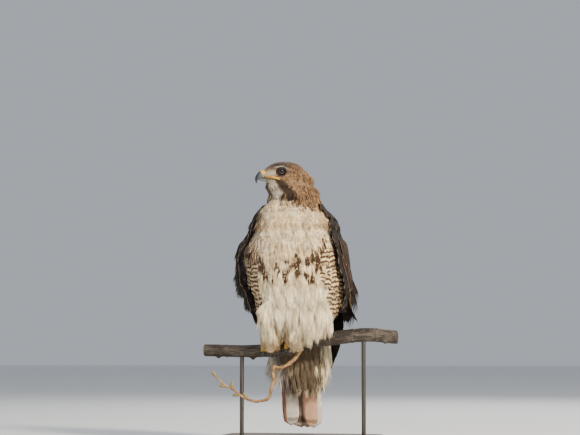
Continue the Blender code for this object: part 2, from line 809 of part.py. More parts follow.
def primaries(sign, rng):
    """The long flat feathers of the hand, stacked, with their tips behind the tail.

    They grow from the hand's own flesh, which runs into the arm.
    """
    outward = Vector((HAND_OUTWARD.x * sign, HAND_OUTWARD.y, 0.0)).normalized()
    across = Vector((outward.y * sign, -outward.x * sign, 0.0))
    down = Vector((HAND_DOWN.x * sign, HAND_DOWN.y, HAND_DOWN.z))
    origin = Vector((HAND_ORIGIN.x * sign, HAND_ORIGIN.y, HAND_ORIGIN.z))
    count = len(PRIMARIES)

    def hand_place(s, offset):
        side = HAND_MIDDLE + offset
        return origin + across * side + down * mix(*HAND_REACH, s) + outward * HAND_DEPTH, outward
    vanes = [feather(hand_place, HAND_STATIONS, HAND_HALF_WIDTH, HAND_THICKNESS)]
    for k, (start, end, reach) in enumerate(PRIMARIES):
        length = reach + rng.uniform(-0.002, 0.002)
        layer = k * VANE_STEP

        def place(s, offset, start=start, end=end, length=length, layer=layer):
            side = mix(start, end, s) + PRIMARY_BOW * 4 * s * (1 - s) + offset
            side += HAND_SPREAD[sign] * (1 - s * s)
            drop = mix(-0.010, length, s)
            return origin + across * side + down * drop + outward * layer, outward
        vanes.append(feather(place, VANE_STATIONS, mix(0.0105, 0.0125, k / count), VANE_THICKNESS))
    return vanes


def feather_shares(count, first, last):
    return [mix(first, last, k / (count - 1)) for k in range(count)]


def secondaries(sign, rng):
    """The feathers of the arm, from the side of the body to the back."""
    vanes = []
    for k, share in enumerate(feather_shares(*SECONDARY_SHARES)):
        tip = mix(*SECONDARY_TIPS, share) + rng.uniform(-0.003, 0.003)
        if sign > 0 and k < 3:
            tip += 0.013 * k
        start, end = (mix(share, 0.5, 0.04), SECONDARY_ROOT), (share, tip)
        vanes.append(wing_feather(
            sign, VANE_STATIONS, start, end, SECONDARY_HALF_WIDTH, SECONDARY_STAND_OFF,
        ))
    return vanes


def coverts(sign, rng, places, root, tips, half_width, stand_off):
    """One tier of shorter feathers, lying over the roots of the tier below."""
    vanes = []
    for share in feather_shares(*places):
        tip = mix(*tips, share) + rng.uniform(-0.004, 0.004)
        start, end = (mix(share, 0.5, 0.04), root), (share, tip)
        vanes.append(wing_feather(sign, COVERT_STATIONS, start, end, half_width, stand_off))
    return vanes


def make_wing(side, sign):
    rng = random.Random(SEED + sign)
    pieces = [make_wing_core(sign)]
    pieces += primaries(sign, rng)
    pieces += secondaries(sign, rng)
    for tier in COVERT_TIERS:
        pieces += coverts(sign, rng, *tier[1:])
    return fuse("wing_" + side, pieces)


# Tail

def tail_point(across, along, lift):
    """A place on the tail: along is 0 at its root and 1 at its tip."""
    axis = TAIL_TIP - TAIL_ROOT
    back = axis.cross(Vector((1.0, 0.0, 0.0))).normalized()
    return TAIL_ROOT + axis * along + Vector((across, 0.0, 0.0)) + back * lift


def tail_feathers(rng):
    """Twelve feathers: the middle pair on top, and each outer pair below the last."""
    vanes = []
    normal = (tail_point(0, 0, 1) - tail_point(0, 0, 0)).normalized()
    for pair in range(TAIL_FEATHER_PAIRS):
        t = pair / (TAIL_FEATHER_PAIRS - 1)
        offset = mix(TAIL_INNER_OFFSET, TAIL_OUTER_OFFSET, t)
        for order, sign in enumerate((1, -1)):
            layer = (2 * (TAIL_FEATHER_PAIRS - 1 - pair) + order - 5.5) * TAIL_STEP
            tip = mix(1.0, 0.965, t) - rng.uniform(0.0, 0.008)

            def place(s, across, sign=sign, offset=offset, layer=layer, tip=tip):
                across += sign * offset * mix(0.45, 1.0, min(s * 1.6, 1.0))
                return tail_point(across, mix(0.05, tip, s), layer), normal
            vanes.append(feather(
                place, TAIL_VANE_STATIONS, TAIL_FEATHER_HALF_WIDTH, TAIL_VANE_THICKNESS,
                tail_width,
            ))
    return vanes


def tail_width(s):
    return min(1.0, 0.35 + 1.3 * s) * max(1.0 - s ** 14, 0.0) ** 0.5 + 0.25 * s ** 14


def tail_covert_rows(rng):
    """Soft feathers that hang over the base of the tail, in front and behind."""
    vanes = []
    for front, count, root, tip, spread, half_width, stand in TAIL_COVERT_TIERS:
        facing = Vector((0.0, -1.0 if front else 1.0, 0.0))
        for k in range(count):
            t = 2 * k / (count - 1) - 1
            low = tip + (0.5 * abs(t)) * 0.030 + rng.uniform(-0.004, 0.004)
            depth = stand + (k % 2) * VANE_STEP * (-1 if front else 1)
            start = Vector((0.55 * spread * t, mix(0.040, depth, 0.55), root))
            end = Vector((spread * t, depth + 0.012, low))

            def place(s, across, start=start, end=end, depth=depth):
                point = start.lerp(end, s)
                point.x += across
                point.y = mix(start.y, depth, min(2.5 * s, 1.0)) + 0.012 * s
                return point, facing
            vanes.append(feather(place, TAIL_COVERT_STATIONS, half_width, VANE_THICKNESS))
    return vanes


def loose_feathers():
    """The soft feathers that hang behind the perch on the hawk's right."""
    vanes = []
    facing = Vector((0.0, -1.0, 0.0))
    for start, end, half_width in LOOSE_FEATHERS:
        def place(s, across, start=Vector(start), end=Vector(end)):
            return start.lerp(end, s) + Vector((across, 0.0, 0.0)), facing
        vanes.append(feather(place, TAIL_COVERT_STATIONS, half_width, VANE_THICKNESS))
    return vanes


def make_tail():
    rng = random.Random(SEED)
    heights = [row[0] for row in TAIL_ROOT_SECTIONS]
    core = loft("tail", section_rings(Track(TAIL_ROOT_SECTIONS), heights, 14))
    pieces = [core] + tail_feathers(rng) + tail_covert_rows(rng) + loose_feathers()
    return fuse("tail", pieces)


# Legs

def make_thigh(side):
    """The feathered thigh, whose long feathers hang over the foot and the perch."""
    track = Track(THIGH_SECTIONS)
    rings = section_rings(track, [row[0] for row in THIGH_SECTIONS], 16)
    for ring in rings:
        for point in ring:
            point.x += THIGH_PLACES[side]
    return loft("thigh_" + side, rings)


def perch_point(x, angle, stand_off):
    """A place round the perch: angle 0 is its top, 90 degrees its front."""
    y, z, radius = branch_track(x)
    reach = radius + stand_off
    return Vector((x, y - reach * math.sin(angle), z + reach * math.cos(angle)))


def toe_points(place, sign, start_side, end_side, start, end, steps=TOE_STEPS):
    points = []
    for i in range(steps):
        t = i / (steps - 1)
        x = place - sign * mix(start_side, end_side, min(t * 1.4, 1.0))
        points.append(perch_point(x, math.radians(mix(start, end, t)), TOE_RADIUS))
    return points


def claw_points(place, sign, end_side, end, length, steps=CLAW_STEPS):
    """The claw goes on from the toe's end and hooks in under the perch."""
    points = []
    turn = math.copysign(1.0, end)
    for i in range(steps):
        t = i / (steps - 1)
        angle = math.radians(end) + turn * t * length / 0.0185
        x = place - sign * (end_side + 0.0015 * t)
        stand_off = mix(TOE_RADIUS * 1.02, 0.0016, t ** 1.5) + 0.0025 * math.sin(math.pi * t)
        points.append(perch_point(x, angle, stand_off))
    return points


def make_foot(side, sign):
    """The foot's pad, shank and toes, and its four claws."""
    place = FOOT_PLACES[side]
    pad = ball("pad", perch_point(place, 0.0, 0.0062), (0.0085, 0.0105, 0.0056))
    top = Vector((THIGH_PLACES[side], -0.004, SHANK_TOP))
    shank = tapered_tube(
        "shank", [perch_point(place, 0.0, 0.006), top], (TARSUS_RADIUS, TARSUS_RADIUS * 0.95),
    )
    pieces = [pad, shank]
    claws = []
    for name, start_side, end_side, start, end, claw in TOES:
        points = toe_points(place, sign, start_side, end_side, start, end)
        radii = [
            TOE_RADIUS * (1.06 - 0.22 * i / (TOE_STEPS - 1) + 0.06 * (i % 2))
            for i in range(TOE_STEPS)
        ]
        pieces.append(tapered_tube("toe", points, radii, 1))
        points = claw_points(place, sign, end_side, end, claw)
        radii = [
            mix(CLAW_RADIUS, 0.0004, (i / (CLAW_STEPS - 1)) ** 1.2) for i in range(CLAW_STEPS)
        ]
        claws.append(tapered_tube("claw_" + side + "_" + name, points, radii, 1))
    foot = fuse("foot_" + side, pieces)
    for claw in claws:
        cut(claw, grown_copy(foot))
    return foot, claws


def toe_sleeve():
    """The room round the perch that the toes need under the thighs' feathers."""
    rings = []
    for x in np.linspace(-0.092, 0.036, 6):
        rings.append([
            perch_point(float(x), math.tau * j / 14, SLEEVE_STAND_OFF) for j in range(14)
        ])
    return loft("toe_sleeve", rings)


# Perch and stand

def bark_swell(x, angle):
    """Shallow lumps, and the raised scars that ring the branch."""
    swell = 0.035 * math.sin(3 * angle + 60 * x) + 0.03 * math.sin(2 * angle - 95 * x + 1.0)
    for scar in BRANCH_RING_SCARS:
        swell += 0.06 * math.exp(-((x - scar) / 0.004) ** 2)
    # The lump under the hawk's feet that the twig grows from
    swell += 0.40 * math.exp(-((x + 0.012) / 0.012) ** 2) * max(-math.cos(angle), 0.0) ** 4
    return 1.0 + swell


def make_branch():
    first, last = BRANCH_AXIS[0][0], BRANCH_AXIS[-1][0]
    rings = []
    for i in range(BRANCH_STEPS):
        x = mix(first, last, i / (BRANCH_STEPS - 1))
        y, z, radius = branch_track(x)
        ring = []
        for j in range(BRANCH_SIDES):
            angle = math.tau * j / BRANCH_SIDES
            reach = radius * bark_swell(x, angle)
            ring.append(Vector((x, y - reach * math.sin(angle), z + reach * math.cos(angle))))
        rings.append(ring)
    return loft("perch_branch", rings)


def make_twig():
    points = [Vector(row[:3]) for row in TWIG_PATH]
    pieces = [tapered_tube("twig", points, [row[3] for row in TWIG_PATH], 1)]
    for index, direction in TWIG_BUDS:
        along = Vector(direction).normalized()
        foot = points[index] - along * 0.0012
        steps = (0.0, 0.35, 0.7, 1.0)
        radii = [BUD_RADIUS * r for r in (0.55, 1.0, 0.7, 0.12)]
        bud = [foot + along * BUD_LENGTH * s for s in steps]
        pieces.append(tapered_tube("bud", bud, radii, 1))
    return fuse("perch_twig", pieces)


def make_base():
    """A flat board with round corners and a softened top edge."""
    shape = bmesh.new()
    bmesh.ops.create_cube(shape, size=1.0)
    place = Matrix.Translation((0.0, 0.0, BASE_SIZE[2] / 2))
    bmesh.ops.transform(shape, matrix=place @ Matrix.Diagonal((*BASE_SIZE, 1.0)), verts=shape.verts)
    upright = [e for e in shape.edges if abs(e.verts[0].co.z - e.verts[1].co.z) > GAP]
    bmesh.ops.bevel(
        shape, geom=upright, offset=BASE_CORNER_RADIUS, segments=6, profile=0.5, affect="EDGES",
    )
    rim = [e for e in shape.edges if min(v.co.z for v in e.verts) > BASE_SIZE[2] - GAP]
    bmesh.ops.bevel(
        shape, geom=rim, offset=BASE_EDGE_BEVEL, segments=2, profile=0.5, affect="EDGES",
    )
    return object_from_bmesh("stand_base", shape)


def make_rod(side):
    """A plain rod from the base to the underside of the perch."""
    x = ROD_PLACES[side]
    foot = BASE_SIZE[2] + GAP
    y, top, _ = branch_track(x)
    bpy.ops.mesh.primitive_cylinder_add(
        vertices=16, radius=ROD_RADIUS, depth=top - foot, location=(x, 0.0, (top + foot) / 2),
    )
    rod = bpy.context.object
    rod.name = "stand_rod_" + side
    return rod


def place_parts(collection, materials, parts):
    """Puts each finished part in the hawk's collection with its material."""
    for obj, material in parts:
        for owner in list(obj.users_collection):
            owner.objects.unlink(obj)
        collection.objects.link(obj)
        obj.data.materials.clear()
        obj.data.materials.append(materials[material])
        obj.data.shade_smooth()
        obj.data.set_sharp_from_angle(angle=math.radians(40))


def main():
    clear_scene()
    materials = make_materials()
    hawk = make_collection("hawk")
    branch = make_branch()
    torso = make_torso()
    cut(torso, grown_copy(branch))
    neck = make_neck()
    head, eyes, cere, upper, lower, head_form = make_head_parts()
    cut(neck, head_form)
    parts = [
        (torso, "pale_plumage"), (neck, "brown_plumage"), (head, "brown_plumage"),
        (cere, "yellow_skin"), (upper, "horn"), (lower, "horn"),
        (eyes["left"], "eye"), (eyes["right"], "eye"), (branch, "bark"),
    ]
    tail = make_tail()
    cut(tail, grown_copy(torso), grown_copy(branch))
    parts.append((tail, "tail_plumage"))
    for side, sign in SIDES:
        wing = make_wing(side, sign)
        cut(wing, grown_copy(torso))
        foot, claws = make_foot(side, sign)
        cut(foot, grown_copy(branch), grown_copy(torso))
        thigh = make_thigh(side)
        cut(thigh, grown_copy(torso), toe_sleeve())
        cut(thigh, grown_copy(foot), solver="MANIFOLD")
        for claw in claws:
            cut(claw, grown_copy(branch))
        parts += [(wing, "dark_plumage"), (foot, "yellow_skin"), (thigh, "pale_plumage")]
        parts += [(claw, "horn") for claw in claws]
        rod = make_rod(side)
        cut(rod, grown_copy(branch))
        parts.append((rod, "rod_metal"))
    twig = make_twig()
    cut(twig, grown_copy(branch))
    parts += [(twig, "twig_bark"), (make_base(), "stand_wood")]
    place_parts(hawk, materials, parts)


if __name__ == "__main__":
    main()
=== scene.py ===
"""The looks of a life-size red-tailed hawk on its perch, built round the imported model.

Metres, +Z up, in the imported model's own frame. The hawk's breast faces -Y, its left side
is +X, and its head is turned to its right. Colours are linear.
"""
import json
import math
import random

import bmesh
import bpy
import numpy as np
from mathutils import Matrix, Vector, noise

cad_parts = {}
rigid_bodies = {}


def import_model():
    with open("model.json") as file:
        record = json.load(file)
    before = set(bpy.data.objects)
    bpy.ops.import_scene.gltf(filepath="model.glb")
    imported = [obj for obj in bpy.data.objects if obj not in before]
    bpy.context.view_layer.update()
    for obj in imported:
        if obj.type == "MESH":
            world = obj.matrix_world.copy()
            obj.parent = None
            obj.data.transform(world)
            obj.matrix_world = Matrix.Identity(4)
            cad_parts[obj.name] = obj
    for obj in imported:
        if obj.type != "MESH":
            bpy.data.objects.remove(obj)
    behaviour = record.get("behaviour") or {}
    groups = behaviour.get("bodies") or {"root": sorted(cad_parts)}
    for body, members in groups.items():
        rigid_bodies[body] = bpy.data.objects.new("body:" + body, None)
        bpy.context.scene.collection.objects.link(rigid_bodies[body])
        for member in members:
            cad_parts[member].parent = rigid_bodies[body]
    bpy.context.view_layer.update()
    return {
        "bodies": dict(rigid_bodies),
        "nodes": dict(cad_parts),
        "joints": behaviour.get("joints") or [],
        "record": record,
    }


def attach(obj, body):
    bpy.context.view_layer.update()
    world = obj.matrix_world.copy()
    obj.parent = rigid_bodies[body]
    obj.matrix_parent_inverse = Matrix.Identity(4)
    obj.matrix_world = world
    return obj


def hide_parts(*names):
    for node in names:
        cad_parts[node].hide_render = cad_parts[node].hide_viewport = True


SEED = 7
SIDES = (("left", 1), ("right", -1))
UP = Vector((0.0, 0.0, 1.0))

# Camera: the way it looks, how far off it stands and what it looks at
CAMERA_TURN = math.radians(12.0)
CAMERA_RISE = math.radians(-5.0)
CAMERA_DISTANCE = 3.0
CAMERA_AIM = Vector((-0.0127, -0.0027, 0.423))
CAMERA_LENS = 99.6

# Body: height, side offset, depth offset, half width, front and back of each section.
# The folded wing lies on these, and below the body it hangs on from them.
BODY_SECTIONS = [
    (0.186, 0.005, 0.05, 0.074, 0.04, 0.036),
    (0.21, 0.006, 0.03, 0.08, 0.05, 0.05),
    (0.231, 0.006, 0.014, 0.081, 0.06, 0.059),
    (0.257, 0.003, 0.004, 0.084, 0.074, 0.061),
    (0.284, 0.003, 0.004, 0.09, 0.081, 0.065),
    (0.312, -0.003, 0.004, 0.0945, 0.085, 0.067),
    (0.34, -0.007, 0.003, 0.093, 0.085, 0.068),
    (0.356, -0.008, 0.002, 0.092, 0.083, 0.068),
    (0.376, -0.007, 0.001, 0.087, 0.079, 0.066),
    (0.398, -0.004, 0.0, 0.0775, 0.072, 0.062),
    (0.42, -0.004, -0.001, 0.073, 0.062, 0.057),
    (0.44, -0.007, -0.002, 0.06, 0.05, 0.047),
    (0.455, -0.005, -0.003, 0.05, 0.041, 0.039),
]
BODY_ROUNDNESS = 2.25

# Head: its middle and the way it faces; places on it are forward, left and up
HEAD_MIDDLE = Vector((-0.0187, -0.008, 0.497))
HEAD_TURN = math.radians(66.0)
EYE_PLACE = Vector((0.0133, 0.0135, 0.009))
EYE_RADIUS = 0.0105
LID_RADIUS = 0.0083
LID_OUT = 0.0092
GAPE_LINE = [
    (0.0425, 0.0092, 0.0012), (0.035, 0.0142, 0.0004), (0.029, 0.0188, -0.0015),
    (0.022, 0.0222, -0.0034), (0.017, 0.0245, -0.005),
]
NOSTRIL_PLACE = (0.0448, 0.0088, 0.009)

# Bill: forward, up, half width and half height along its spine
UPPER_BILL_SPINE = [
    (0.032, 0.0056, 0.0112, 0.0078),
    (0.042, 0.0056, 0.0097, 0.0078),
    (0.048, 0.005, 0.0078, 0.0072),
    (0.052, 0.0024, 0.006, 0.0055),
    (0.0558, -0.0018, 0.004, 0.0038),
    (0.0572, -0.007, 0.0022, 0.0019),
    (0.057, -0.012, 0.0005, 0.0004),
]
CERE_ROWS = 2.0
LOWER_BILL_SPINE = [
    (0.03, -0.0062, 0.0088, 0.0034),
    (0.04, -0.0052, 0.0074, 0.0032),
    (0.047, -0.0044, 0.0054, 0.0026),
    (0.0515, -0.0046, 0.0018, 0.001),
]

# Wing: height, then the angles of its front and back edges round the body
WING_EDGES = [
    (0.22, 87, 172), (0.28, 80, 172), (0.34, 76, 171), (0.4, 73, 166),
    (0.44, 72, 150),
]
# Height and share of the arm's full thickness, whose values in front and behind follow
WING_THICKNESS = [
    (0.23, 0.28), (0.25, 0.5), (0.28, 0.78), (0.32, 1.0), (0.39, 1.0),
    (0.415, 0.72), (0.43, 0.4), (0.447, -0.1),
]
WING_LIFTS = (0.0045, 0.011)
# How pale the coverts' rims are along each wing's front edge
EDGE_PALENESS = {1: (0.0, 0.35), -1: (0.3, 1.0)}
# Where the coverts' tips step out of the right wing's outline
STEP_HEIGHTS = (0.3386, 0.3106, 0.2844)
# How far each wing's front edge stands off the body, by height; towards the back it fades
WING_FLARES = {
    1: [(0.221, 0.024), (0.24, 0.016), (0.26, 0.009), (0.29, 0.003), (0.44, 0.0)],
    -1: [(0.221, 0.003), (0.26, 0.002), (0.3, 0.006), (0.33, 0.004), (0.44, 0.0)],
}
FLARE_FADE = 2.4
# The hand's place, the ways it faces and hangs, and how far its root lies outwards
HAND_ORIGIN = Vector((0.043, 0.07, 0.25))
HAND_OUTWARD = Vector((0.643, 0.765, 0.0))
HAND_DOWN = Vector((0.0187, 0.0222, -1.0))
HAND_SPREAD = {1: 0.011, -1: 0.0}
# Where each primary lies across the hand at its root and tip, and its length
PRIMARIES = [
    (0, 0.03, 0.01, 0.102), (1, 0.023, -0.009, 0.128), (2, 0.017, -0.026, 0.15),
    (3, 0.0115, -0.036, 0.162), (4, 0.007, -0.035, 0.152), (5, 0.0025, -0.032, 0.132),
]
PRIMARY_COUNT = 9
PRIMARY_BOW = 0.008
# Tier: count and places of its feathers, root height, tip heights at the front and back,
# half width and stand-off from the arm
WING_TIERS = {
    "secondary": ((12, 0.05, 0.955), 0.322, (0.221, 0.236), 0.0105, 0.001),
    "greater": ((13, 0.015, 0.9), 0.366, (0.284, 0.3), 0.01, 0.003),
    "median": ((14, 0.03, 0.96), 0.392, (0.328, 0.348), 0.009, 0.0048),
}

# Tail
TAIL_ROOT = Vector((-0.004, 0.046, 0.215))
TAIL_TIP = Vector((-0.004, 0.082, 0.028))
TAIL_PAIRS = 6
TAIL_HALF_WIDTH = 0.019
TAIL_OFFSETS = (0.006, 0.0195)
TAIL_STEP = 0.001
# Of the feathers seen first from below: offset, half width and tip
OUTER_FEATHERS = {
    (5, -1): (0.0232, 0.0158, 0.965), (5, 1): (0.02, 0.0178, 0.985),
    (4, 1): (0.017, 0.0185, 0.975), (4, -1): (0.02, 0.018, 0.955),
}
TAIL_ROOT_SECTIONS = [
    (0.234, -0.002, 0.036, 0.046, 0.014, 0.022),
    (0.208, -0.001, 0.043, 0.054, 0.016, 0.021),
    (0.186, 0.001, 0.046, 0.053, 0.016, 0.018),
    (0.16, 0.001, 0.05, 0.047, 0.016, 0.016),
    (0.135, 0.0, 0.054, 0.035, 0.012, 0.013),
    (0.115, -0.002, 0.058, 0.02, 0.006, 0.008),
]

# Perch: x, y and z of its axis, and its radius
BRANCH_AXIS = [
    (-0.176, -0.004, 0.1757, 0.0114), (-0.099, -0.001, 0.1742, 0.0116),
    (-0.059, 0.0, 0.175, 0.0122), (-0.02, 0.0, 0.1805, 0.0126),
    (0.025, 0.0, 0.1895, 0.0127), (0.054, 0.0, 0.1954, 0.0127),
    (0.092, 0.001, 0.201, 0.013), (0.13, 0.003, 0.2036, 0.0128),
    (0.187, 0.008, 0.199, 0.0124),
]
BRANCH_RING_SCARS = (-0.133, 0.105, 0.15)
# Place along the perch, angle round it and size of each knot
BRANCH_KNOTS = [
    (-0.15, 200, 0.0045), (-0.084, 185, 0.005), (-0.104, 120, 0.003),
    (0.07, 60, 0.003), (0.165, 150, 0.0035),
]
TWIG_PATH = [
    (0.006, -0.002, 0.1745, 0.0044), (-0.004, -0.01, 0.158, 0.0034),
    (-0.018, -0.016, 0.1469, 0.003), (-0.03, -0.018, 0.143, 0.0029),
    (-0.038, -0.019, 0.1455, 0.0036), (-0.041, -0.02, 0.1342, 0.0026),
    (-0.04, -0.02, 0.1224, 0.0026), (-0.044, -0.021, 0.1084, 0.0026),
    (-0.046, -0.021, 0.0933, 0.0026), (-0.053, -0.022, 0.0848, 0.0027),
    (-0.063, -0.022, 0.0826, 0.0025), (-0.073, -0.022, 0.0815, 0.0025),
    (-0.09, -0.022, 0.0858, 0.0024), (-0.105, -0.022, 0.0944, 0.0022),
    (-0.12, -0.021, 0.1052, 0.0021), (-0.131, -0.021, 0.1095, 0.002),
    (-0.142, -0.02, 0.1191, 0.0019), (-0.15, -0.02, 0.1277, 0.0018),
]
BUD_LENGTH = 0.015
BUD_RADIUS = 0.0034
TWIG_BUDS = [
    (12, (-0.5, 0.0, 0.8)), (13, (-1.0, 0.0, -0.2)), (14, (0.1, 0.1, 1.0)),
    (15, (-1.0, 0.0, 0.0)), (17, (-0.7, 0.0, 0.7)),
]

# Feet: where each stands along the perch, and for each toe its sideways start and end,
# the angles that it wraps from the top of the perch, and its claw's length
FOOT_PLACES = {"left": -0.002, "right": -0.047}
TOES = [
    ("inner", 0.005, 0.015, 12, 98, 0.019), ("middle", 0.001, 0.001, 8, 104, 0.018),
    ("outer", -0.005, -0.014, 14, 96, 0.016), ("hind", 0.0, 0.004, -14, -98, 0.021),
]
TOE_RADIUS = 0.0044
CLAW_RADIUS = 0.003

# Barbs drawn along one feather
BARB_COUNT = 46.0

FLOOR_REACH = 30.0
FLOOR_CORNERS = ((-1, -1), (1, -1), (1, 1), (-1, 1))

# How deep the skin lies below the feathers' outer surface
BODY_COAT = 0.0042
HEAD_COAT = 0.0016
LEG_COAT = 0.0028

# Plumage colours
TAWNY = (0.4, 0.235, 0.12)
HEAD_BROWN = (0.165, 0.09, 0.047)
CROWN_BROWN = (0.085, 0.055, 0.036)
DARK_BROWN = (0.022, 0.013, 0.009)
WING_BROWN = (0.02, 0.014, 0.012)
FRINGE_BROWN = (0.19, 0.11, 0.06)
PALE_FRINGE = (0.74, 0.58, 0.4)
CREAM = (0.9, 0.66, 0.35)
WHITE = (0.92, 0.78, 0.56)
BELLY_WHITE = (0.96, 0.82, 0.56)
RUFOUS = (0.42, 0.21, 0.095)
BAND_BROWN = (0.07, 0.036, 0.02)
BAR_BROWN = (0.105, 0.058, 0.034)
THROAT_WHITE = (0.7, 0.61, 0.48)
# Painted shade: SHADE_BUFF and SHADE_GREY are buff and pale feathers as they look in shade
SHADE_BUFF = (0.4, 0.3, 0.19)
SHADE_GREY = (0.27, 0.25, 0.25)
TAIL_UNDER = (0.62, 0.45, 0.33)
# Painted shade: the undertail coverts as they look in the shade of the body and the perch
SHADED_UNDERTAIL = (0.17, 0.122, 0.078)
TAIL_PINK = (0.74, 0.43, 0.27)
TAIL_WHITE = (0.78, 0.69, 0.58)
TAIL_RED = (0.38, 0.115, 0.04)
TAIL_EDGE = (0.3, 0.14, 0.075)
YELLOW = (0.88, 0.5, 0.035)

# Colours of the outer and inner webs of the tail feathers seen first from below; the dark inner webs of
# pairs 3 and 4 are painted shadow in the gap between the tail's halves
TAIL_LOOKS = {
    (5, -1): (TAIL_EDGE, TAIL_WHITE), (5, 1): (TAIL_WHITE, TAIL_PINK),
    (4, -1): (TAIL_EDGE, (0.2, 0.13, 0.09)), (4, 1): (TAIL_UNDER, (0.3, 0.19, 0.12)),
    (3, -1): (TAIL_EDGE, (0.14, 0.09, 0.06)), (3, 1): (TAIL_UNDER, (0.16, 0.1, 0.07)),
}

# Blotches of the dark band over the belly: their place across the view, height,
# half width and half height
BAND_MARKS = [
    (0.0475, 0.3755, 0.0022, 0.006), (0.062, 0.383, 0.0022, 0.0065),
    (0.066, 0.372, 0.0024, 0.007), (0.072, 0.362, 0.0024, 0.007),
    (-0.085, 0.351, 0.004, 0.008), (-0.072, 0.34, 0.005, 0.008), (-0.062, 0.334, 0.005, 0.011),
    (-0.058, 0.314, 0.005, 0.011), (-0.047, 0.307, 0.004, 0.01), (-0.038, 0.327, 0.004, 0.01),
    (-0.024, 0.316, 0.006, 0.01), (-0.02, 0.303, 0.004, 0.006), (-0.015, 0.331, 0.004, 0.013),
    (0.001, 0.331, 0.007, 0.015), (0.006, 0.314, 0.005, 0.008), (0.016, 0.334, 0.004, 0.01),
    (0.023, 0.302, 0.006, 0.008), (0.028, 0.345, 0.005, 0.008), (0.041, 0.353, 0.007, 0.013),
    (0.038, 0.333, 0.009, 0.013), (0.046, 0.373, 0.004, 0.01), (0.064, 0.373, 0.005, 0.011),
    (0.06, 0.386, 0.004, 0.007), (0.072, 0.352, 0.006, 0.012), (0.073, 0.338, 0.005, 0.008),
]


class Track:
    """A smooth curve through rows of numbers, read by the rows' first number."""

    def __init__(self, rows):
        table = np.array(sorted(rows), dtype=float)
        self.keys = table[:, 0]
        self.values = table[:, 1:]
        steps = np.diff(self.keys)[:, None]
        slopes = np.diff(self.values, axis=0) / steps
        self.tangents = np.zeros_like(self.values)
        before, after = slopes[:-1], slopes[1:]
        same_way = before * after > 0
        total = np.where(same_way, before + after, 1.0)
        self.tangents[1:-1] = np.where(same_way, 2 * before * after / total, 0.0)
        self.tangents[0] = slopes[0]
        self.tangents[-1] = slopes[-1]

    def __call__(self, key):
        key = min(max(key, self.keys[0]), self.keys[-1])
        place = int(np.searchsorted(self.keys, key, side="right")) - 1
        place = min(max(place, 0), len(self.keys) - 2)
        span = self.keys[place + 1] - self.keys[place]
        t = (key - self.keys[place]) / span
        return (
            (2 * t ** 3 - 3 * t ** 2 + 1) * self.values[place]
            + (t ** 3 - 2 * t ** 2 + t) * span * self.tangents[place]
            + (3 * t ** 2 - 2 * t ** 3) * self.values[place + 1]
            + (t ** 3 - t ** 2) * span * self.tangents[place + 1]
        )


body_track = Track(BODY_SECTIONS)
wing_edges = Track(WING_EDGES)
wing_thickness = Track(WING_THICKNESS)
wing_flares = {sign: Track(rows) for sign, rows in WING_FLARES.items()}
branch_track = Track(BRANCH_AXIS)


def mix(start, end, share):
    return start + (end - start) * share


def blend(start, end, share):
    """A colour between two others."""
    return tuple(mix(a, b, share) for a, b in zip(start, end))


def ease(low, high, value):
    """0 below low, 1 above high and smooth between."""
    t = min(max((value - low) / (high - low), 0.0), 1.0)
    return t * t * (3 - 2 * t)


def hump(middle, width, value):
    """1 at the middle, falling smoothly to 0 at a width on either side."""
    return 1.0 - ease(0.0, width, abs(value - middle))


def speckle(point, scale, shift=0.0):
    """Smooth random values about -1 to 1."""
    return noise.noise(Vector(point) * scale + Vector((shift, shift, shift)))


def rounded(value, roundness):
    return math.copysign(abs(value) ** (2.0 / roundness), value)


# Objects and meshes

def new_object(name, data):
    obj = bpy.data.objects.new(name, data)
    bpy.context.scene.collection.objects.link(obj)
    return obj


def mesh_object(name, points, faces, smooth=True):
    mesh = bpy.data.meshes.new(name)
    mesh.from_pydata([tuple(p) for p in points], [], faces)
    mesh.validate()
    if smooth:
        mesh.shade_smooth()
    return new_object(name, mesh)


def mesh_from(name, shape):
    mesh = bpy.data.meshes.new(name)
    shape.to_mesh(mesh)
    shape.free()
    return mesh


def keep_values(mesh, name, values, domain="POINT"):
    """Keeps a colour or a vector on each point or face, for the materials to read."""
    kind, field = "FLOAT_VECTOR", "vector"
    if name in ("tint", "mark", "edge"):
        kind, field = "FLOAT_COLOR", "color"
        values = [(*value, 1.0) for value in values]
    layer = mesh.attributes.new(name, kind, domain)
    layer.data.foreach_set(field, [x for value in values for x in value])


def keep_vane_map(mesh, uvs):
    vane = mesh.uv_layers.new(name="vane")
    for loop in mesh.loops:
        vane.data[loop.index].uv = uvs[loop.vertex_index]


def loft(name, rings, capped=True):
    """A closed body through rings of equally many points: capped, or bent round to its start."""
    count = len(rings[0])
    points = [point for ring in rings for point in ring]
    faces = []
    for row in range(len(rings) - capped):
        low = row * count
        high = (row + 1) % len(rings) * count
        for i in range(count):
            j = (i + 1) % count
            faces.append((low + i, low + j, high + j, high + i))
    if capped:
        last = (len(rings) - 1) * count
        faces.append(tuple(range(count)))
        faces.append(tuple(range(last, last + count)))
    obj = mesh_object(name, points, faces)
    face_outwards(obj)
    return obj


def face_outwards(obj):
    shape = bmesh.new()
    shape.from_mesh(obj.data)
    bmesh.ops.remove_doubles(shape, verts=shape.verts, dist=1e-6)
    bmesh.ops.recalc_face_normals(shape, faces=shape.faces)
    shape.to_mesh(obj.data)
    shape.free()


def apply_modifiers(obj):
    depsgraph = bpy.context.evaluated_depsgraph_get()
    mesh = bpy.data.meshes.new_from_object(obj.evaluated_get(depsgraph))
    obj.modifiers.clear()
    old = obj.data
    obj.data = mesh
    bpy.data.meshes.remove(old)


def join(name, objects):
    """One object from several."""
    shape = bmesh.new()
    for obj in objects:
        shape.from_mesh(obj.data)
    mesh = mesh_from(name, shape)
    mesh.materials.clear()
    mesh.materials.append(objects[0].data.materials[0] if objects[0].data.materials else None)
    for obj in objects:
        bpy.data.objects.remove(obj, do_unlink=True)
    mesh.shade_smooth()
    return new_object(name, mesh)


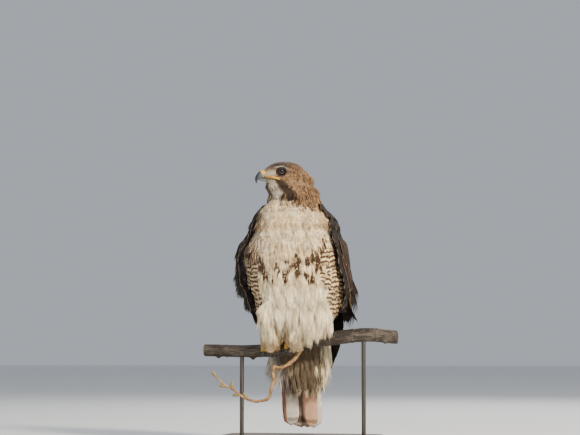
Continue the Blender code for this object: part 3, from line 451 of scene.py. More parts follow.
def tube_rings(points, radii, sides, squash=1.0):
    """Rings round a path, kept from twisting, each with its radius."""
    points = [Vector(p) for p in points]
    rings = []
    side = None
    for i, (point, radius) in enumerate(zip(points, radii)):
        ahead = points[min(i + 1, len(points) - 1)]
        behind = points[max(i - 1, 0)]
        along = (ahead - behind).normalized()
        if side is None:
            side = along.orthogonal().normalized()
        side = (side - along * side.dot(along)).normalized()
        other = along.cross(side)
        rings.append([
            point + (side * math.cos(a) + other * math.sin(a) * squash) * radius
            for a in (math.tau * j / sides for j in range(sides))
        ])
    return rings


def smooth_path(rows, count):
    """More rows, evenly spread along a smooth curve through the given ones."""
    track = Track([(i, *row) for i, row in enumerate(rows)])
    return [track(mix(0, len(rows) - 1, i / (count - 1))) for i in range(count)]


# Materials

def start_material(name, roughness=0.7, specular=0.5, sheen=0.0, coat=0.0, metallic=0.0):
    material = bpy.data.materials.new(name)
    material.use_nodes = True
    shader = material.node_tree.nodes["Principled BSDF"]
    for socket, value in (("Roughness", roughness), ("Specular IOR Level", specular),
                          ("Sheen Weight", sheen), ("Coat Weight", coat),
                          ("Coat Roughness", 0.05), ("Metallic", metallic)):
        shader.inputs[socket].default_value = value
    return material, material.node_tree


def maths(tree, operation, first, second=None, third=None):
    """A maths node; each input is a socket or a number."""
    node = tree.nodes.new("ShaderNodeMath")
    node.operation = operation
    for socket, value in zip(node.inputs, (first, second, third)):
        if value is None:
            continue
        if isinstance(value, (int, float)):
            socket.default_value = value
        else:
            tree.links.new(value, socket)
    return node.outputs[0]


def times(tree, first, second):
    return maths(tree, "MULTIPLY", first, second)


def minus(tree, first, second):
    return maths(tree, "SUBTRACT", first, second)


def gap(tree, first, second):
    return maths(tree, "ABSOLUTE", minus(tree, first, second))


def wave(tree, turns):
    return maths(tree, "SINE", times(tree, turns, math.tau))


def barb_lines(tree, along, across, count, slant):
    """Fine waves that run out from the shaft at a slant."""
    return wave(tree, minus(tree, times(tree, along, count), times(tree, across, slant)))


def shade_colour(tree, colour, shade):
    node = tree.nodes.new("ShaderNodeVectorMath")
    node.operation = "SCALE"
    tree.links.new(colour, node.inputs[0])
    tree.links.new(shade, node.inputs["Scale"])
    return node.outputs[0]


def map_place(tree, name):
    """The place on one of the mesh's own maps."""
    node = tree.nodes.new("ShaderNodeUVMap")
    node.uv_map = name
    return split(tree, node.outputs["UV"])[:2]


def smooth_range(tree, value, low, high, start=0.0, end=1.0):
    node = tree.nodes.new("ShaderNodeMapRange")
    node.interpolation_type = "SMOOTHSTEP"
    for name, given in (("Value", value), ("From Min", low), ("From Max", high),
                        ("To Min", start), ("To Max", end)):
        if isinstance(given, (int, float)):
            node.inputs[name].default_value = given
        else:
            tree.links.new(given, node.inputs[name])
    return node.outputs["Result"]


def mix_colour(tree, share, first, second):
    node = tree.nodes.new("ShaderNodeMix")
    node.data_type = "RGBA"
    for socket, value in ((node.inputs[0], share), (node.inputs[6], first), (node.inputs[7], second)):
        if isinstance(value, (int, float)):
            socket.default_value = value
        elif isinstance(value, tuple):
            socket.default_value = (*value, 1.0)
        else:
            tree.links.new(value, socket)
    return node.outputs[2]


def attribute(tree, name, output="Fac"):
    node = tree.nodes.new("ShaderNodeAttribute")
    node.attribute_name = name
    return node.outputs[output]


def split(tree, vector):
    node = tree.nodes.new("ShaderNodeSeparateXYZ")
    tree.links.new(vector, node.inputs[0])
    return node.outputs


def object_noise(tree, scale, detail=3.0, stretch=(1.0, 1.0, 1.0), roughness=0.5):
    """Noise on object coordinates."""
    place = tree.nodes.new("ShaderNodeTexCoord").outputs["Object"]
    mapping = tree.nodes.new("ShaderNodeMapping")
    mapping.inputs["Scale"].default_value = stretch
    tree.links.new(place, mapping.inputs["Vector"])
    node = tree.nodes.new("ShaderNodeTexNoise")
    node.inputs["Scale"].default_value = scale
    node.inputs["Detail"].default_value = detail
    node.inputs["Roughness"].default_value = roughness
    tree.links.new(mapping.outputs["Vector"], node.inputs["Vector"])
    return node.outputs["Fac"]


def paint(material, colour, height=None, distance=0.0, strength=1.0):
    """Gives a material its colour, and relief from a height."""
    tree = material.node_tree
    shader = tree.nodes["Principled BSDF"]
    tree.links.new(colour, shader.inputs["Base Color"])
    if height:
        bump = tree.nodes.new("ShaderNodeBump")
        bump.inputs["Distance"].default_value = distance
        bump.inputs["Strength"].default_value = strength
        tree.links.new(height, bump.inputs["Height"])
        tree.links.new(bump.outputs["Normal"], shader.inputs["Normal"])
    return material


def plumage_material(name):
    """Feathers: shaft streaks, bars, a fringe and fine barbs, from each feather's own values."""
    material, tree = start_material(name, roughness=0.8, specular=0.12, sheen=0.01)
    u, v = map_place(tree, "vane")
    across = times(tree, gap(tree, u, 0.5), 2.0)
    streak, bars, fringe = split(tree, attribute(tree, "pattern", "Vector"))[:3]
    luck, shaft, _ = split(tree, attribute(tree, "chance", "Vector"))
    wobble = object_noise(tree, 260.0, 2.0)
    wobble = times(tree, minus(tree, wobble, 0.5), 0.5)
    # Bars bend towards the tip at the shaft, and one phase differs from the next feather's
    turns = maths(tree, "MULTIPLY_ADD", v, bars, luck)
    turns = minus(tree, turns, times(tree, across, 0.22))
    turns = maths(tree, "ADD", turns, wobble)
    bar_mask = smooth_range(tree, wave(tree, turns), -0.2, 0.25)
    bar_mask = times(tree, bar_mask, smooth_range(tree, bars, 0.5, 1.0))
    # The streak is a drop along the shaft, widest towards the tip
    drop = times(tree, streak, smooth_range(tree, v, 0.1, 0.75, 0.45, 1.0))
    inner = minus(tree, drop, 0.1)
    uneven = maths(tree, "ADD", across, wobble)
    streak_mask = smooth_range(tree, uneven, inner, drop, 1.0, 0.0)
    streak_mask = times(tree, streak_mask, smooth_range(tree, streak, 0.01, 0.05))
    marks = maths(tree, "MAXIMUM", bar_mask, streak_mask)
    rim = maths(tree, "MAXIMUM", across, smooth_range(tree, v, 0.7, 1.0))
    rim_start = minus(tree, 1.0, fringe)
    rim_mask = smooth_range(tree, rim, rim_start, 1.0)
    rim_mask = times(tree, rim_mask, smooth_range(tree, fringe, 0.01, 0.05))
    colour = mix_colour(tree, marks, attribute(tree, "tint", "Color"), attribute(tree, "mark", "Color"))
    colour = mix_colour(tree, rim_mask, colour, attribute(tree, "edge", "Color"))
    barbs = barb_lines(tree, v, across, BARB_COUNT, BARB_COUNT * 0.25)
    shaft_line = smooth_range(tree, across, 0.02, 0.07, 1.0, 0.0)
    shaft_line = times(tree, shaft_line, shaft)
    shade = maths(tree, "MULTIPLY_ADD", barbs, 0.045, 1.0)
    strands = object_noise(tree, 520.0, 2.0, (1.0, 1.0, 0.14))
    shade = times(tree, shade, smooth_range(tree, strands, 0.3, 0.7, 0.74, 1.18))
    shade = times(tree, shade, smooth_range(tree, v, 0.0, 0.5, 0.7, 1.0))
    colour = shade_colour(tree, colour, shade)
    colour = mix_colour(tree, shaft_line, colour, attribute(tree, "mark", "Color"))
    height = maths(tree, "MULTIPLY_ADD", barbs, 0.35, times(tree, shaft_line, 1.5))
    return paint(material, colour, height, 0.0003, 0.6)


def down_material(name):
    """The skin's down below the feathers, with the coat's markings and its painted shade."""
    material, tree = start_material(name, roughness=0.9, specular=0.15, sheen=0.15)
    fine = object_noise(tree, 900.0, 3.0, (1.0, 1.0, 0.2))
    dark = mix_colour(tree, smooth_range(tree, fine, 0.3, 0.7), (0.02, 0.014, 0.01),
                      attribute(tree, "tint", "Color"))
    colour = mix_colour(tree, 0.55, attribute(tree, "tint", "Color"), dark)
    return paint(material, colour, fine, 0.0006, 0.8)


def two_tone_material(name, first, second, scale, roughness=0.6, bump=0.0002, stretch=(1, 1, 1),
                      specular=0.5, coat=0.0, low=0.35, high=0.65):
    """Noise between two colours, with matching relief."""
    material, tree = start_material(name, roughness, specular, coat=coat)
    grain = object_noise(tree, scale, 5.0, stretch)
    colour = mix_colour(tree, smooth_range(tree, grain, low, high), first, second)
    return paint(material, colour, grain, bump)


def horn_material(name, base, tip, near, far):
    """Horn that darkens with distance from the head's middle."""
    material, tree = start_material(name, roughness=0.28, specular=0.5, coat=0.25)
    distance = distance_from(tree, HEAD_MIDDLE)
    grain = object_noise(tree, 700.0, 4.0, (1.0, 1.0, 3.0))
    share = smooth_range(tree, distance, near, far)
    streaky = maths(tree, "MULTIPLY_ADD", minus(tree, grain, 0.5), 0.5, share)
    colour = mix_colour(tree, streaky, base, tip)
    return paint(material, colour, grain, 0.00008)


def distance_from(tree, place):
    coordinates = tree.nodes.new("ShaderNodeTexCoord").outputs["Object"]
    node = tree.nodes.new("ShaderNodeVectorMath")
    node.operation = "DISTANCE"
    node.inputs[1].default_value = place
    tree.links.new(coordinates, node.inputs[0])
    return node.outputs["Value"]


def eye_material(name, pupil_place):
    """A dark brown iris with fine spokes round a black pupil, under a wet clear coat."""
    material, tree = start_material(name, roughness=0.1, specular=0.35, coat=0.3)
    distance = distance_from(tree, pupil_place)
    spokes = object_noise(tree, 1400.0, 2.0)
    iris = mix_colour(tree, smooth_range(tree, spokes, 0.3, 0.7), (0.014, 0.006, 0.003),
                      (0.05, 0.02, 0.008))
    rim = smooth_range(tree, distance, 0.0056, 0.0068)
    colour = mix_colour(tree, rim, iris, (0.006, 0.004, 0.003))
    pupil = smooth_range(tree, distance, 0.0033, 0.0037, 1.0, 0.0)
    colour = mix_colour(tree, pupil, colour, (0.001, 0.001, 0.001))
    return paint(material, colour)


def scale_skin_material(name, colour, shade, rings=0.0, below=None):
    """Soft yellow skin, duller below on the cere; on the toes each scute has a darker edge."""
    material, tree = start_material(name, roughness=0.45, specular=0.5)
    grain = object_noise(tree, 620.0, 4.0)
    mixed = mix_colour(tree, smooth_range(tree, grain, 0.3, 0.75), shade, colour)
    height = times(tree, grain, 0.4)
    if below:
        place = tree.nodes.new("ShaderNodeTexCoord").outputs["Object"]
        middle = HEAD_MIDDLE.z + UPPER_BILL_SPINE[0][1]
        share = smooth_range(tree, split(tree, place)[2], middle - 0.0016, middle + 0.0018)
        mixed = mix_colour(tree, share, below, mixed)
    if rings:
        saw = maths(tree, "FRACT", times(tree, map_place(tree, "along")[1], rings))
        groove = smooth_range(tree, gap(tree, saw, 0.5), 0.38, 0.5)
        dark = tuple(0.32 * value for value in shade)
        mixed = mix_colour(tree, times(tree, groove, 0.8), mixed, dark)
        height = minus(tree, height, groove)
    return paint(material, mixed, height, 0.0004)


def bark_material(name):
    """Weathered grey-brown bark with long cracks, pale lenticels and patches of bloom."""
    material, tree = start_material(name, roughness=0.82, specular=0.3)
    broad = object_noise(tree, 34.0, 4.0, (0.45, 1.0, 1.0))
    fine = object_noise(tree, 260.0, 6.0, (0.22, 1.0, 1.0), 0.62)
    spots = object_noise(tree, 420.0, 1.0)
    colour = mix_colour(tree, smooth_range(tree, broad, 0.38, 0.62), (0.032, 0.024, 0.019),
                        (0.12, 0.096, 0.074))
    colour = mix_colour(tree, smooth_range(tree, fine, 0.4, 0.56, 0.75, 0.0), colour,
                        (0.022, 0.016, 0.012))
    lenticel = smooth_range(tree, spots, 0.7, 0.76, 0.0, 0.8)
    colour = mix_colour(tree, lenticel, colour, (0.4, 0.31, 0.21))
    height = maths(tree, "ADD", fine, times(tree, lenticel, 0.5))
    return paint(material, colour, height, 0.0012)


def wood_material(name):
    """Dark oiled wood with its grain along the board."""
    material, tree = start_material(name, roughness=0.42, specular=0.45, coat=0.1)
    rings = object_noise(tree, 26.0, 5.0, (0.16, 1.4, 1.0), 0.6)
    pores = object_noise(tree, 500.0, 2.0, (0.05, 1.0, 1.0))
    colour = mix_colour(tree, smooth_range(tree, rings, 0.36, 0.64), (0.06, 0.031, 0.017),
                        (0.15, 0.082, 0.044))
    colour = mix_colour(tree, smooth_range(tree, pores, 0.6, 0.72, 0.0, 0.7), colour,
                        (0.02, 0.011, 0.007))
    return paint(material, colour, pores, 0.00012, 0.6)


def metal_material(name):
    """Bronzed steel rod, brushed along its length."""
    material, tree = start_material(name, roughness=0.34, specular=0.5, metallic=1.0)
    brushed = object_noise(tree, 900.0, 3.0, (1.0, 1.0, 0.02))
    colour = mix_colour(tree, smooth_range(tree, brushed, 0.3, 0.7), (0.09, 0.078, 0.065),
                        (0.16, 0.14, 0.12))
    return paint(material, colour, brushed, 0.00004)


# The body's and the head's own measures

def section_point(row, height, angle, lift=0.0):
    """A point on a section: angle 0 is the front, 90 degrees the left side."""
    side, depth, half_width, front, back = row
    reach = front if math.cos(angle) > 0 else back
    across = (half_width + lift) * rounded(math.sin(angle), BODY_ROUNDNESS)
    along = -(reach + lift) * rounded(math.cos(angle), BODY_ROUNDNESS)
    return Vector((side + across, depth + along, height))


def body_angle(point):
    """Degrees round the body: 0 in front, positive on its left."""
    side, depth, _, front, back = body_track(point.z)
    return math.degrees(math.atan2(point.x - side, -(point.y - depth) / (front + back) * 0.155))


def head_frame():
    """Turns head places, given as forward, left and up, into the model's frame."""
    forward = Vector((-math.sin(HEAD_TURN), -math.cos(HEAD_TURN), 0.0))
    left = UP.cross(forward)
    frame = Matrix((forward, left, UP)).transposed().to_4x4()
    return Matrix.Translation(HEAD_MIDDLE) @ frame


head_matrix = head_frame()
head_inverse = head_matrix.inverted()
head_forward = (head_matrix.to_3x3() @ Vector((1.0, 0.0, 0.0))).normalized()


def head_point(forward, left, up):
    return head_matrix @ Vector((forward, left, up))


def perch_point(x, angle, stand_off):
    """A place round the perch: angle 0 is its top, 90 degrees its front."""
    y, z, radius = branch_track(x)
    reach = radius + stand_off
    return Vector((x, y - reach * math.sin(angle), z + reach * math.cos(angle)))


# Skin

def flesh_copy(nodes, names):
    """The named solids as one merged object."""
    shape = bmesh.new()
    for name in names:
        shape.from_mesh(nodes[name].data)
    bmesh.ops.remove_doubles(shape, verts=shape.verts, dist=1e-6)
    mesh = mesh_from("skin", shape)
    mesh.materials.clear()
    return new_object("skin", mesh)


def coat_depth(point):
    """How far below the solids' surface the skin lies."""
    head = ease(0.455, 0.48, point.z)
    leg = 1.0 - ease(0.205, 0.235, point.z)
    depth = mix(BODY_COAT, HEAD_COAT, head)
    return mix(depth, LEG_COAT, leg)


def make_skin(nodes):
    names = ["torso", "neck", "head", "thigh_left", "thigh_right"]
    skin = flesh_copy(nodes, names)
    remesh = skin.modifiers.new("whole", "REMESH")
    remesh.mode = "VOXEL"
    remesh.voxel_size = 0.0022
    smooth = skin.modifiers.new("soft", "SMOOTH")
    smooth.factor = 0.5
    smooth.iterations = 6
    apply_modifiers(skin)
    mesh = skin.data
    moves = [vert.normal * -coat_depth(vert.co) for vert in mesh.vertices]
    for vert, move in zip(mesh.vertices, moves):
        vert.co += move
    mesh.shade_smooth()
    paint_skin(mesh)
    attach(skin, "root")
    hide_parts(*names)
    return skin


def paint_skin(mesh):
    """Puts the coat's colours, painted shade included, on the skin, point by point."""
    colours = []
    for vert in mesh.vertices:
        look = plumage_at(vert.co.copy(), None)
        marked = 0.6 if look["streak"] > 0.5 else 0.0
        colours.append(blend(look["tint"], look["mark"], marked))
    keep_values(mesh, "tint", colours)


# Where each kind of feather grows and how it looks

def plumage_at(point, rng):
    """The look of the feather that grows at a place on the skin."""
    if point.z > 0.468:
        look = head_look(point)
    elif point.z > 0.44:
        look = neck_look(point)
    else:
        look = body_look(point)
    if rng:
        luck = rng.uniform(0.9, 1.05) if look["kind"] == "blade" else rng.uniform(0.62, 1.1)
        look["tint"] = tuple(luck * value for value in look["tint"])
    return look


def feather_look(tint, mark, edge=None, streak=0.0, bars=0.0, fringe=0.0, shaft=0.0,
                 length=0.024, width=0.012, tilt=13.0, kind="plume", space=0.46):
    return {
        "tint": tint, "mark": mark, "edge": edge or tint, "streak": streak, "bars": bars,
        "fringe": fringe, "shaft": shaft, "length": length, "width": width, "tilt": tilt,
        "kind": kind, "space": space,
    }


def seen_side(point):
    """How far a place lies to the right, as the hawk is looked at."""
    return point.x * math.cos(CAMERA_TURN) + point.y * math.sin(CAMERA_TURN)


def head_look(point):
    """Brown crown and cheeks, pale brow and lores, dark moustache and streaked throat."""
    forward, left, up = head_inverse @ point
    side = abs(left)
    back = 1.0 - ease(-0.035, 0.04, forward)
    streaky = speckle((point.x, point.y, point.z * 0.6), 260.0)
    tint = blend(HEAD_BROWN, TAWNY, min(max(0.3 + 0.35 * back + 0.9 * streaky, 0.0), 1.0))
    top = ease(0.013, 0.021, up)
    tint = blend(tint, CROWN_BROWN, top * mix(0.4, 0.95, ease(-0.025, 0.018, forward)))
    tint = blend(tint, DARK_BROWN, min(0.8 * eye_line_and_brow_shade(forward, side, up), 0.92))
    pale = max(brow_line(forward, up), lore_patch(forward, up)) * ease(0.006, 0.012, side)
    pale = max(pale, 0.22 * ring_below_eye(forward, side, up))
    tint = blend(tint, THROAT_WHITE, pale)
    throat, moustache = chin_marks(forward, left, up)
    tint = blend(tint, THROAT_WHITE, 0.68 * throat)
    tint = blend(tint, DARK_BROWN, 0.94 * moustache)
    length = mix(mix(0.005, 0.0125, back), 0.01, throat)
    eye_gap = (Vector((forward, side, up)) - Vector((EYE_PLACE.x, 0.024, EYE_PLACE.z))).length
    length *= mix(0.6, 1.0, ease(0.01, 0.022, eye_gap))
    streak = 0.55 * ease(-0.1, 0.3, speckle(point, 420.0, 3.0)) * (1.0 - 0.35 * pale)
    nape = ease(0.018, 0.04, -forward) * (1.0 - ease(0.004, 0.02, up))
    low_nape = ease(0.012, 0.034, -forward) * (1.0 - ease(-0.017, -0.007, up))
    mark = blend(tint, DARK_BROWN, 0.75)
    return feather_look(tint, mark, blend(tint, TAWNY, 0.5), streak=streak, fringe=0.25,
                        length=length * mix(1.0, 1.3, nape), width=0.42 * length,
                        tilt=mix(mix(7.0, 10.0, back), 27.0, low_nape), kind="lock")


def brow_line(forward, up):
    """The pale line over the eye, which bends down behind it."""
    line = mix(0.0128, 0.018, ease(0.002, 0.012, forward))
    near = 1.0 - ease(0.0004, 0.0011, abs(up - line))
    return 0.85 * near * ease(0.001, 0.006, forward) * (1.0 - ease(0.023, 0.028, forward))


def lore_patch(forward, up):
    return 0.66 * ease(0.0215, 0.027, forward) * hump(0.006, 0.0105, up)


def eye_line_and_brow_shade(forward, side, up):
    """Dark round the eye: painted shade on the brow ridge above it, and the stripe behind."""
    # Painted shade of the brow ridge over the eye
    ridge = hump(0.0218, 0.0046, up) * ease(0.000, 0.006, forward)
    ridge *= 1.0 - ease(0.031, 0.038, forward)
    behind = hump(0.009, 0.005, up) * ease(-0.024, -0.004, forward)
    behind *= 1.0 - ease(0.003, 0.006, forward)
    return max(1.2 * ridge, behind) * ease(0.01, 0.016, side)


def ring_below_eye(forward, side, up):
    away = math.hypot(forward - EYE_PLACE.x, up - EYE_PLACE.z)
    return hump(0.0106, 0.002, away) * ease(0.004, -0.002, -up + 0.006) * ease(0.012, 0.018, side)


def chin_marks(forward, left, up):
    """How far a place belongs to the pale throat and to the dark moustaches; the chin's front on the
    hawk's right is partly painted shade.
    """
    below = ease(0.003, 0.009, -up)
    line = mix(0.0175, -0.006, ease(0.004, 0.042, -up))
    width = mix(0.0085, 0.015, ease(0.006, 0.036, -up))
    near = 1.0 - ease(0.6 * width, 1.15 * width, abs(forward - line))
    near *= below * (1.0 - ease(0.034, 0.048, -up)) * ease(0.004, 0.01, abs(left))
    # The chin's front on the hawk's right, darkened as the far moustache: partly that moustache and
    # partly painted shade
    far = ease(-0.016, -0.008, -left) * ease(0.008, 0.014, -up) * ease(0.008, 0.016, forward)
    throat = below * ease(line + 0.6 * width, line + 1.2 * width, forward)
    throat *= 1.0 - 0.8 * ease(0.034, 0.044, -up)
    moustache = max(near, 0.85 * far)
    return throat * (1.0 - moustache), moustache


def neck_look(point):
    """Tawny brown behind and at the sides, passing into the pale breast in front."""
    angle = body_angle(point)
    head_part = head_look(point)
    border = 0.449 - 0.00022 * angle + 0.006 * speckle(point, 110.0)
    border += 0.03 * ease(62, 84, abs(angle - 8))
    pale = 1.0 - ease(border - 0.004, border + 0.006, point.z)
    breast = breast_look(point, angle)
    tint = blend(head_part["tint"], breast["tint"], pale)
    mark = blend(head_part["mark"], breast["mark"], pale)
    behind = ease(60, 90, abs(angle - 10))
    return feather_look(tint, mark, blend(tint, TAWNY, 0.3), streak=mix(0.4, 0.18, pale),
                        fringe=0.25, length=mix(0.019, 0.025, behind), width=0.008,
                        tilt=mix(14.0, 25.0, behind))


def body_look(point):
    angle = body_angle(point)
    if abs(angle) > 100:
        return back_look(point)
    if point.z < 0.222:
        return leg_look(point)
    return breast_look(point, angle)


def back_look(point):
    """Dark brown mantle with rufous and pale fringes; white-flecked scapulars lower down."""
    fleck = ease(0.15, 0.5, speckle(point, 55.0, 5.0))
    tint = blend(WING_BROWN, FRINGE_BROWN, 0.25 * ease(0.42, 0.45, point.z))
    tint = blend(tint, PALE_FRINGE, 0.35 * fleck * (1.0 - ease(0.38, 0.42, point.z)))
    return feather_look(tint, DARK_BROWN, FRINGE_BROWN, streak=0.25, fringe=0.22,
                        shaft=0.4, length=0.026, width=0.0165, tilt=11.0, kind="blade")


def leg_look(point):
    """Creamy trousers with faint rufous bars."""
    # Darkened unevenly towards SHADE_BUFF: painted shade under the belly
    tint = blend(CREAM, SHADE_BUFF, 0.45 + 0.35 * speckle(point, 70.0))
    bars = 1.6 if speckle(point, 40.0) > 0.25 else 0.0
    short = ease(0.185, 0.215, point.z)
    return feather_look(tint, blend(RUFOUS, tint, 0.4), bars=bars,
                        length=mix(0.012, 0.028, short), width=0.008, tilt=7.0)


def breast_look(point, angle):
    """The pale breast, the belly's dark band, the barred flanks and the clear belly."""
    height = point.z
    patch = speckle(point, 60.0)
    streaky = speckle((point.x, point.y, point.z * 0.35), 170.0, 4.0)
    high = ease(0.352, 0.372, height)
    low = 1.0 - ease(0.296, 0.312, height)
    tint = blend(CREAM, WHITE, min(max(0.5 + 0.5 * patch + 0.6 * streaky, 0.0), 1.0))
    tint = blend(tint, BELLY_WHITE, low)
    tint = blend(tint, RUFOUS, 0.22 * ease(0.1, 0.5, streaky) * high)
    wash = ease(24, 56, angle) * ease(0.395, 0.42, height)
    tint = blend(tint, RUFOUS, 0.5 * wash)
    # Painted shade on the hawk's right side of the breast: greyer, with darker and more streaks
    shade = ease(12, 52, -angle) * ease(0.3, 0.36, height)
    tint = blend(tint, SHADE_GREY, 0.72 * shade * ease(-0.3, 0.3, streaky))
    mark = blend(RUFOUS, BAND_BROWN, 0.2 + 0.6 * shade)
    streak = 0.24 * ease(-0.05, 0.2, speckle(point, 230.0, 9.0)) * ease(0.3, 0.35, height)
    look = feather_look(tint, mark, blend(tint, WHITE, 0.5), streak=max(streak, 0.42 * shade),
                        fringe=0.15, length=mix(0.029, 0.042, low), width=mix(0.0092, 0.011, low),
                        tilt=mix(8.0, 7.0, low))
    if flank_place(point, angle):
        # The flanks grow greyer towards the hawk's right: painted shade
        look.update(tint=blend(CREAM, SHADE_GREY, mix(0.15, 0.45, ease(40, 80, -angle))),
                    mark=BAR_BROWN, edge=WHITE, bars=4.6, streak=0.09, fringe=0.06, shaft=0.9,
                    length=0.036, width=0.0175, tilt=8.0, kind="blade", space=0.62)
    if in_band(point):
        look.update(mark=BAND_BROWN, streak=0.8, bars=0.0, shaft=0.0, length=0.026,
                    width=0.0105, tilt=8.0, kind="plume", space=0.4)
    return look


def flank_place(point, angle):
    """Where the large barred feathers lie, at both sides below the breast."""
    top = mix(0.356, 0.374, ease(30, 62, angle)) if angle > 0 else 0.345
    edge = mix(50, 28, ease(0.29, 0.35, point.z)) if angle > 0 else 40
    return abs(angle) > edge and 0.252 < point.z - 0.006 < top


def in_band(point):
    """Whether a feather rooted here shows one of the band's blotches near its tip."""
    across, height = seen_side(point), point.z - 0.015
    if point.y > 0.02:
        return False
    for side, z, half_width, half_height in BAND_MARKS:
        if math.hypot((across - side) / (half_width + 0.001), (height - z) / half_height) < 1.0:
            return True
    return False


def coat_lie(point, normal):
    """The way that the feathers lie: back from the bill, then down the body."""
    down = -UP
    if point.z > 0.462:
        forward, _, up = head_inverse @ point
        fall = ease(0.025, -0.035, forward) if forward < 0.025 else 0.0
        fall = max(0.3 + 0.6 * fall, 0.75 * (1.0 - ease(-0.016, 0.004, up)))
        lie = -head_forward * (1.0 - fall) + down * fall
        lie = lie.lerp(down, 1.0 - ease(0.462, 0.48, point.z))
    else:
        side = body_track(point.z)[0]
        out = Vector((point.x - side, 0.0, 0.0))
        spread = 3.2 if point.z > 0.36 else 1.2
        lie = down + out * spread
        if point.z < 0.222:
            lie += Vector((0.0, -0.15, 0.0))
    lie = (lie - normal * lie.dot(normal)).normalized()
    clump = 0.3 * speckle(point, 75.0, 6.0) if point.z < 0.455 else 0.15 * speckle(point, 160.0)
    return (Matrix.Rotation(clump, 3, normal) @ lie).normalized()


def covered_place(point):
    """Places with no feathers: the eyes, the bill's base, the gape and under the wings."""
    if point.z > 0.462:
        forward, left, up = head_inverse @ point
        place = Vector((forward, abs(left), up))
        if (place - Vector((EYE_PLACE.x, 0.0235, EYE_PLACE.z))).length < 0.009:
            return True
        if forward > 0.0375 and up > -0.009:
            return True
        return any((place - Vector(row)).length < 0.0019 for row in GAPE_LINE[1:])
    if point.z < 0.201 and abs(point.x + 0.014) < 0.009 and point.y < 0.0:
        return True
    angle = body_angle(point)
    under_wing = 84 < abs(angle) < 158 and 0.235 < point.z < 0.425
    return under_wing or point.z < 0.18


# Contour feathers, grown by Geometry Nodes

def contour_feather(name, fingers, rng):
    """One small feather of unit size: a closed blade whose end parts into locks of barbs."""
    shoulder = 0.6
    rows = [(0.0, (-0.06, 0.06)), (0.28, (-0.34, 0.0, 0.34))]
    edges = [mix(-0.5, 0.5, i / fingers) for i in range(fingers + 1)]
    rows.append((shoulder, edges))
    points, uvs = [], []
    index = {}
    for level, (y, xs) in enumerate(rows):
        for i, x in enumerate(xs):
            for face, sign in ((0, 1), (1, -1)):
                index[level, i, face] = len(points)
                points.append(blade_point(x, y, sign))
                uvs.append((x + 0.5, y))
    tips = []
    for i in range(fingers):
        middle = (edges[i] + edges[i + 1]) / 2
        reach = shoulder + (1.0 - shoulder) * math.sqrt(max(1.0 - (1.75 * middle) ** 2, 0.12))
        reach -= rng.uniform(0.0, 0.07)
        tips.append(len(points))
        points.append(blade_point(middle * rng.uniform(0.95, 1.12), reach, 0))
        uvs.append((middle + 0.5, reach))
    faces = []
    for face in (0, 1):
        a = [index[0, i, face] for i in range(2)]
        b = [index[1, i, face] for i in range(3)]
        c = [index[2, i, face] for i in range(fingers + 1)]
        half = fingers // 2
        sheet = [(a[0], a[1], b[1]), (a[0], b[1], b[0]), (a[1], b[2], b[1])]
        sheet += [(b[0], c[i + 1], c[i]) for i in range(half)]
        sheet += [(b[0], b[1], c[half])]
        sheet += [(b[1], b[2], c[half])]
        sheet += [(b[2], c[i + 1], c[i]) for i in range(half, fingers)]
        sheet += [(c[i], c[i + 1], tips[i]) for i in range(fingers)]
        faces += sheet if face == 0 else [f[::-1] for f in sheet]
    for level, last in ((0, 1), (1, 2)):
        for side, low, high in ((0, 0, 0), (1, last, len(rows[level + 1][1]) - 1)):
            quad = (index[level, low, 0], index[level + 1, high, 0],
                    index[level + 1, high, 1], index[level, low, 1])
            faces.append(quad if side else quad[::-1])
    for i in range(fingers):
        faces.append((index[2, i, 0], tips[i], index[2, i, 1]))
        faces.append((index[2, i + 1, 0], index[2, i + 1, 1], tips[i]))
    faces.append((index[0, 0, 0], index[0, 0, 1], index[0, 1, 1], index[0, 1, 0]))
    obj = mesh_object(name, points, faces)
    keep_vane_map(obj.data, uvs)
    return obj


def blade_point(x, y, sign):
    """A point of the unit feather, bowed along and across so that it hugs the body."""
    bow = -0.13 * y * y - 0.1 * (2 * x) ** 2 * y
    return Vector((x, y, bow + sign * 0.011 * (1.0 - 0.5 * y)))


def plume_feather(name, strands, rng):
    """A soft feather of unit size: locks of barbs that fan out from the root and taper."""
    points, uvs, faces = [], [], []
    for i in range(strands):
        share = (i + 0.5) / strands - 0.5
        reach = 1.0 - 0.8 * share ** 2 - rng.uniform(0.0, 0.14)
        bend = share * rng.uniform(0.85, 1.15) + rng.uniform(-0.04, 0.04)
        start = len(points)
        lift = rng.uniform(-0.01, 0.014)
        for y, x, half, high in ((0.0, 0.25 * share, 0.05, 0.0),
                                 (0.5 * reach, 0.8 * bend, 0.6 / strands, lift)):
            for dx, rise in ((-half, -0.007), (half, -0.007), (0.0, 0.013)):
                points.append(blade_point(x + dx, y, 0) + Vector((0.0, 0.0, rise + high)))
                uvs.append((0.5 + share, y))
        points.append(blade_point(bend * 1.08, reach, 0) + Vector((0.0, 0.0, lift)))
        uvs.append((0.5 + share, reach))
        for face in ((0, 2, 1), (0, 1, 4, 3), (1, 2, 5, 4), (2, 0, 3, 5), (3, 4, 6),
                     (4, 5, 6), (5, 3, 6)):
            faces.append(tuple(start + corner for corner in face))
    obj = mesh_object(name, points, faces, smooth=False)
    keep_vane_map(obj.data, uvs)
    face_outwards(obj)
    return obj


def make_feather_shapes(kind):
    """A few feathers of one kind to pick from: blades, plumes or single locks."""
    rng = random.Random(SEED)
    shapes = bpy.data.collections.new("feather_shapes_" + kind)
    for i in range(4):
        name = f"{kind}_{i}"
        if kind == "blade":
            obj = contour_feather(name, (6, 8)[i % 2], rng)
        else:
            obj = plume_feather(name, 6 if kind == "plume" else 4, rng)
        bpy.context.scene.collection.objects.unlink(obj)
        shapes.objects.link(obj)
    return shapes


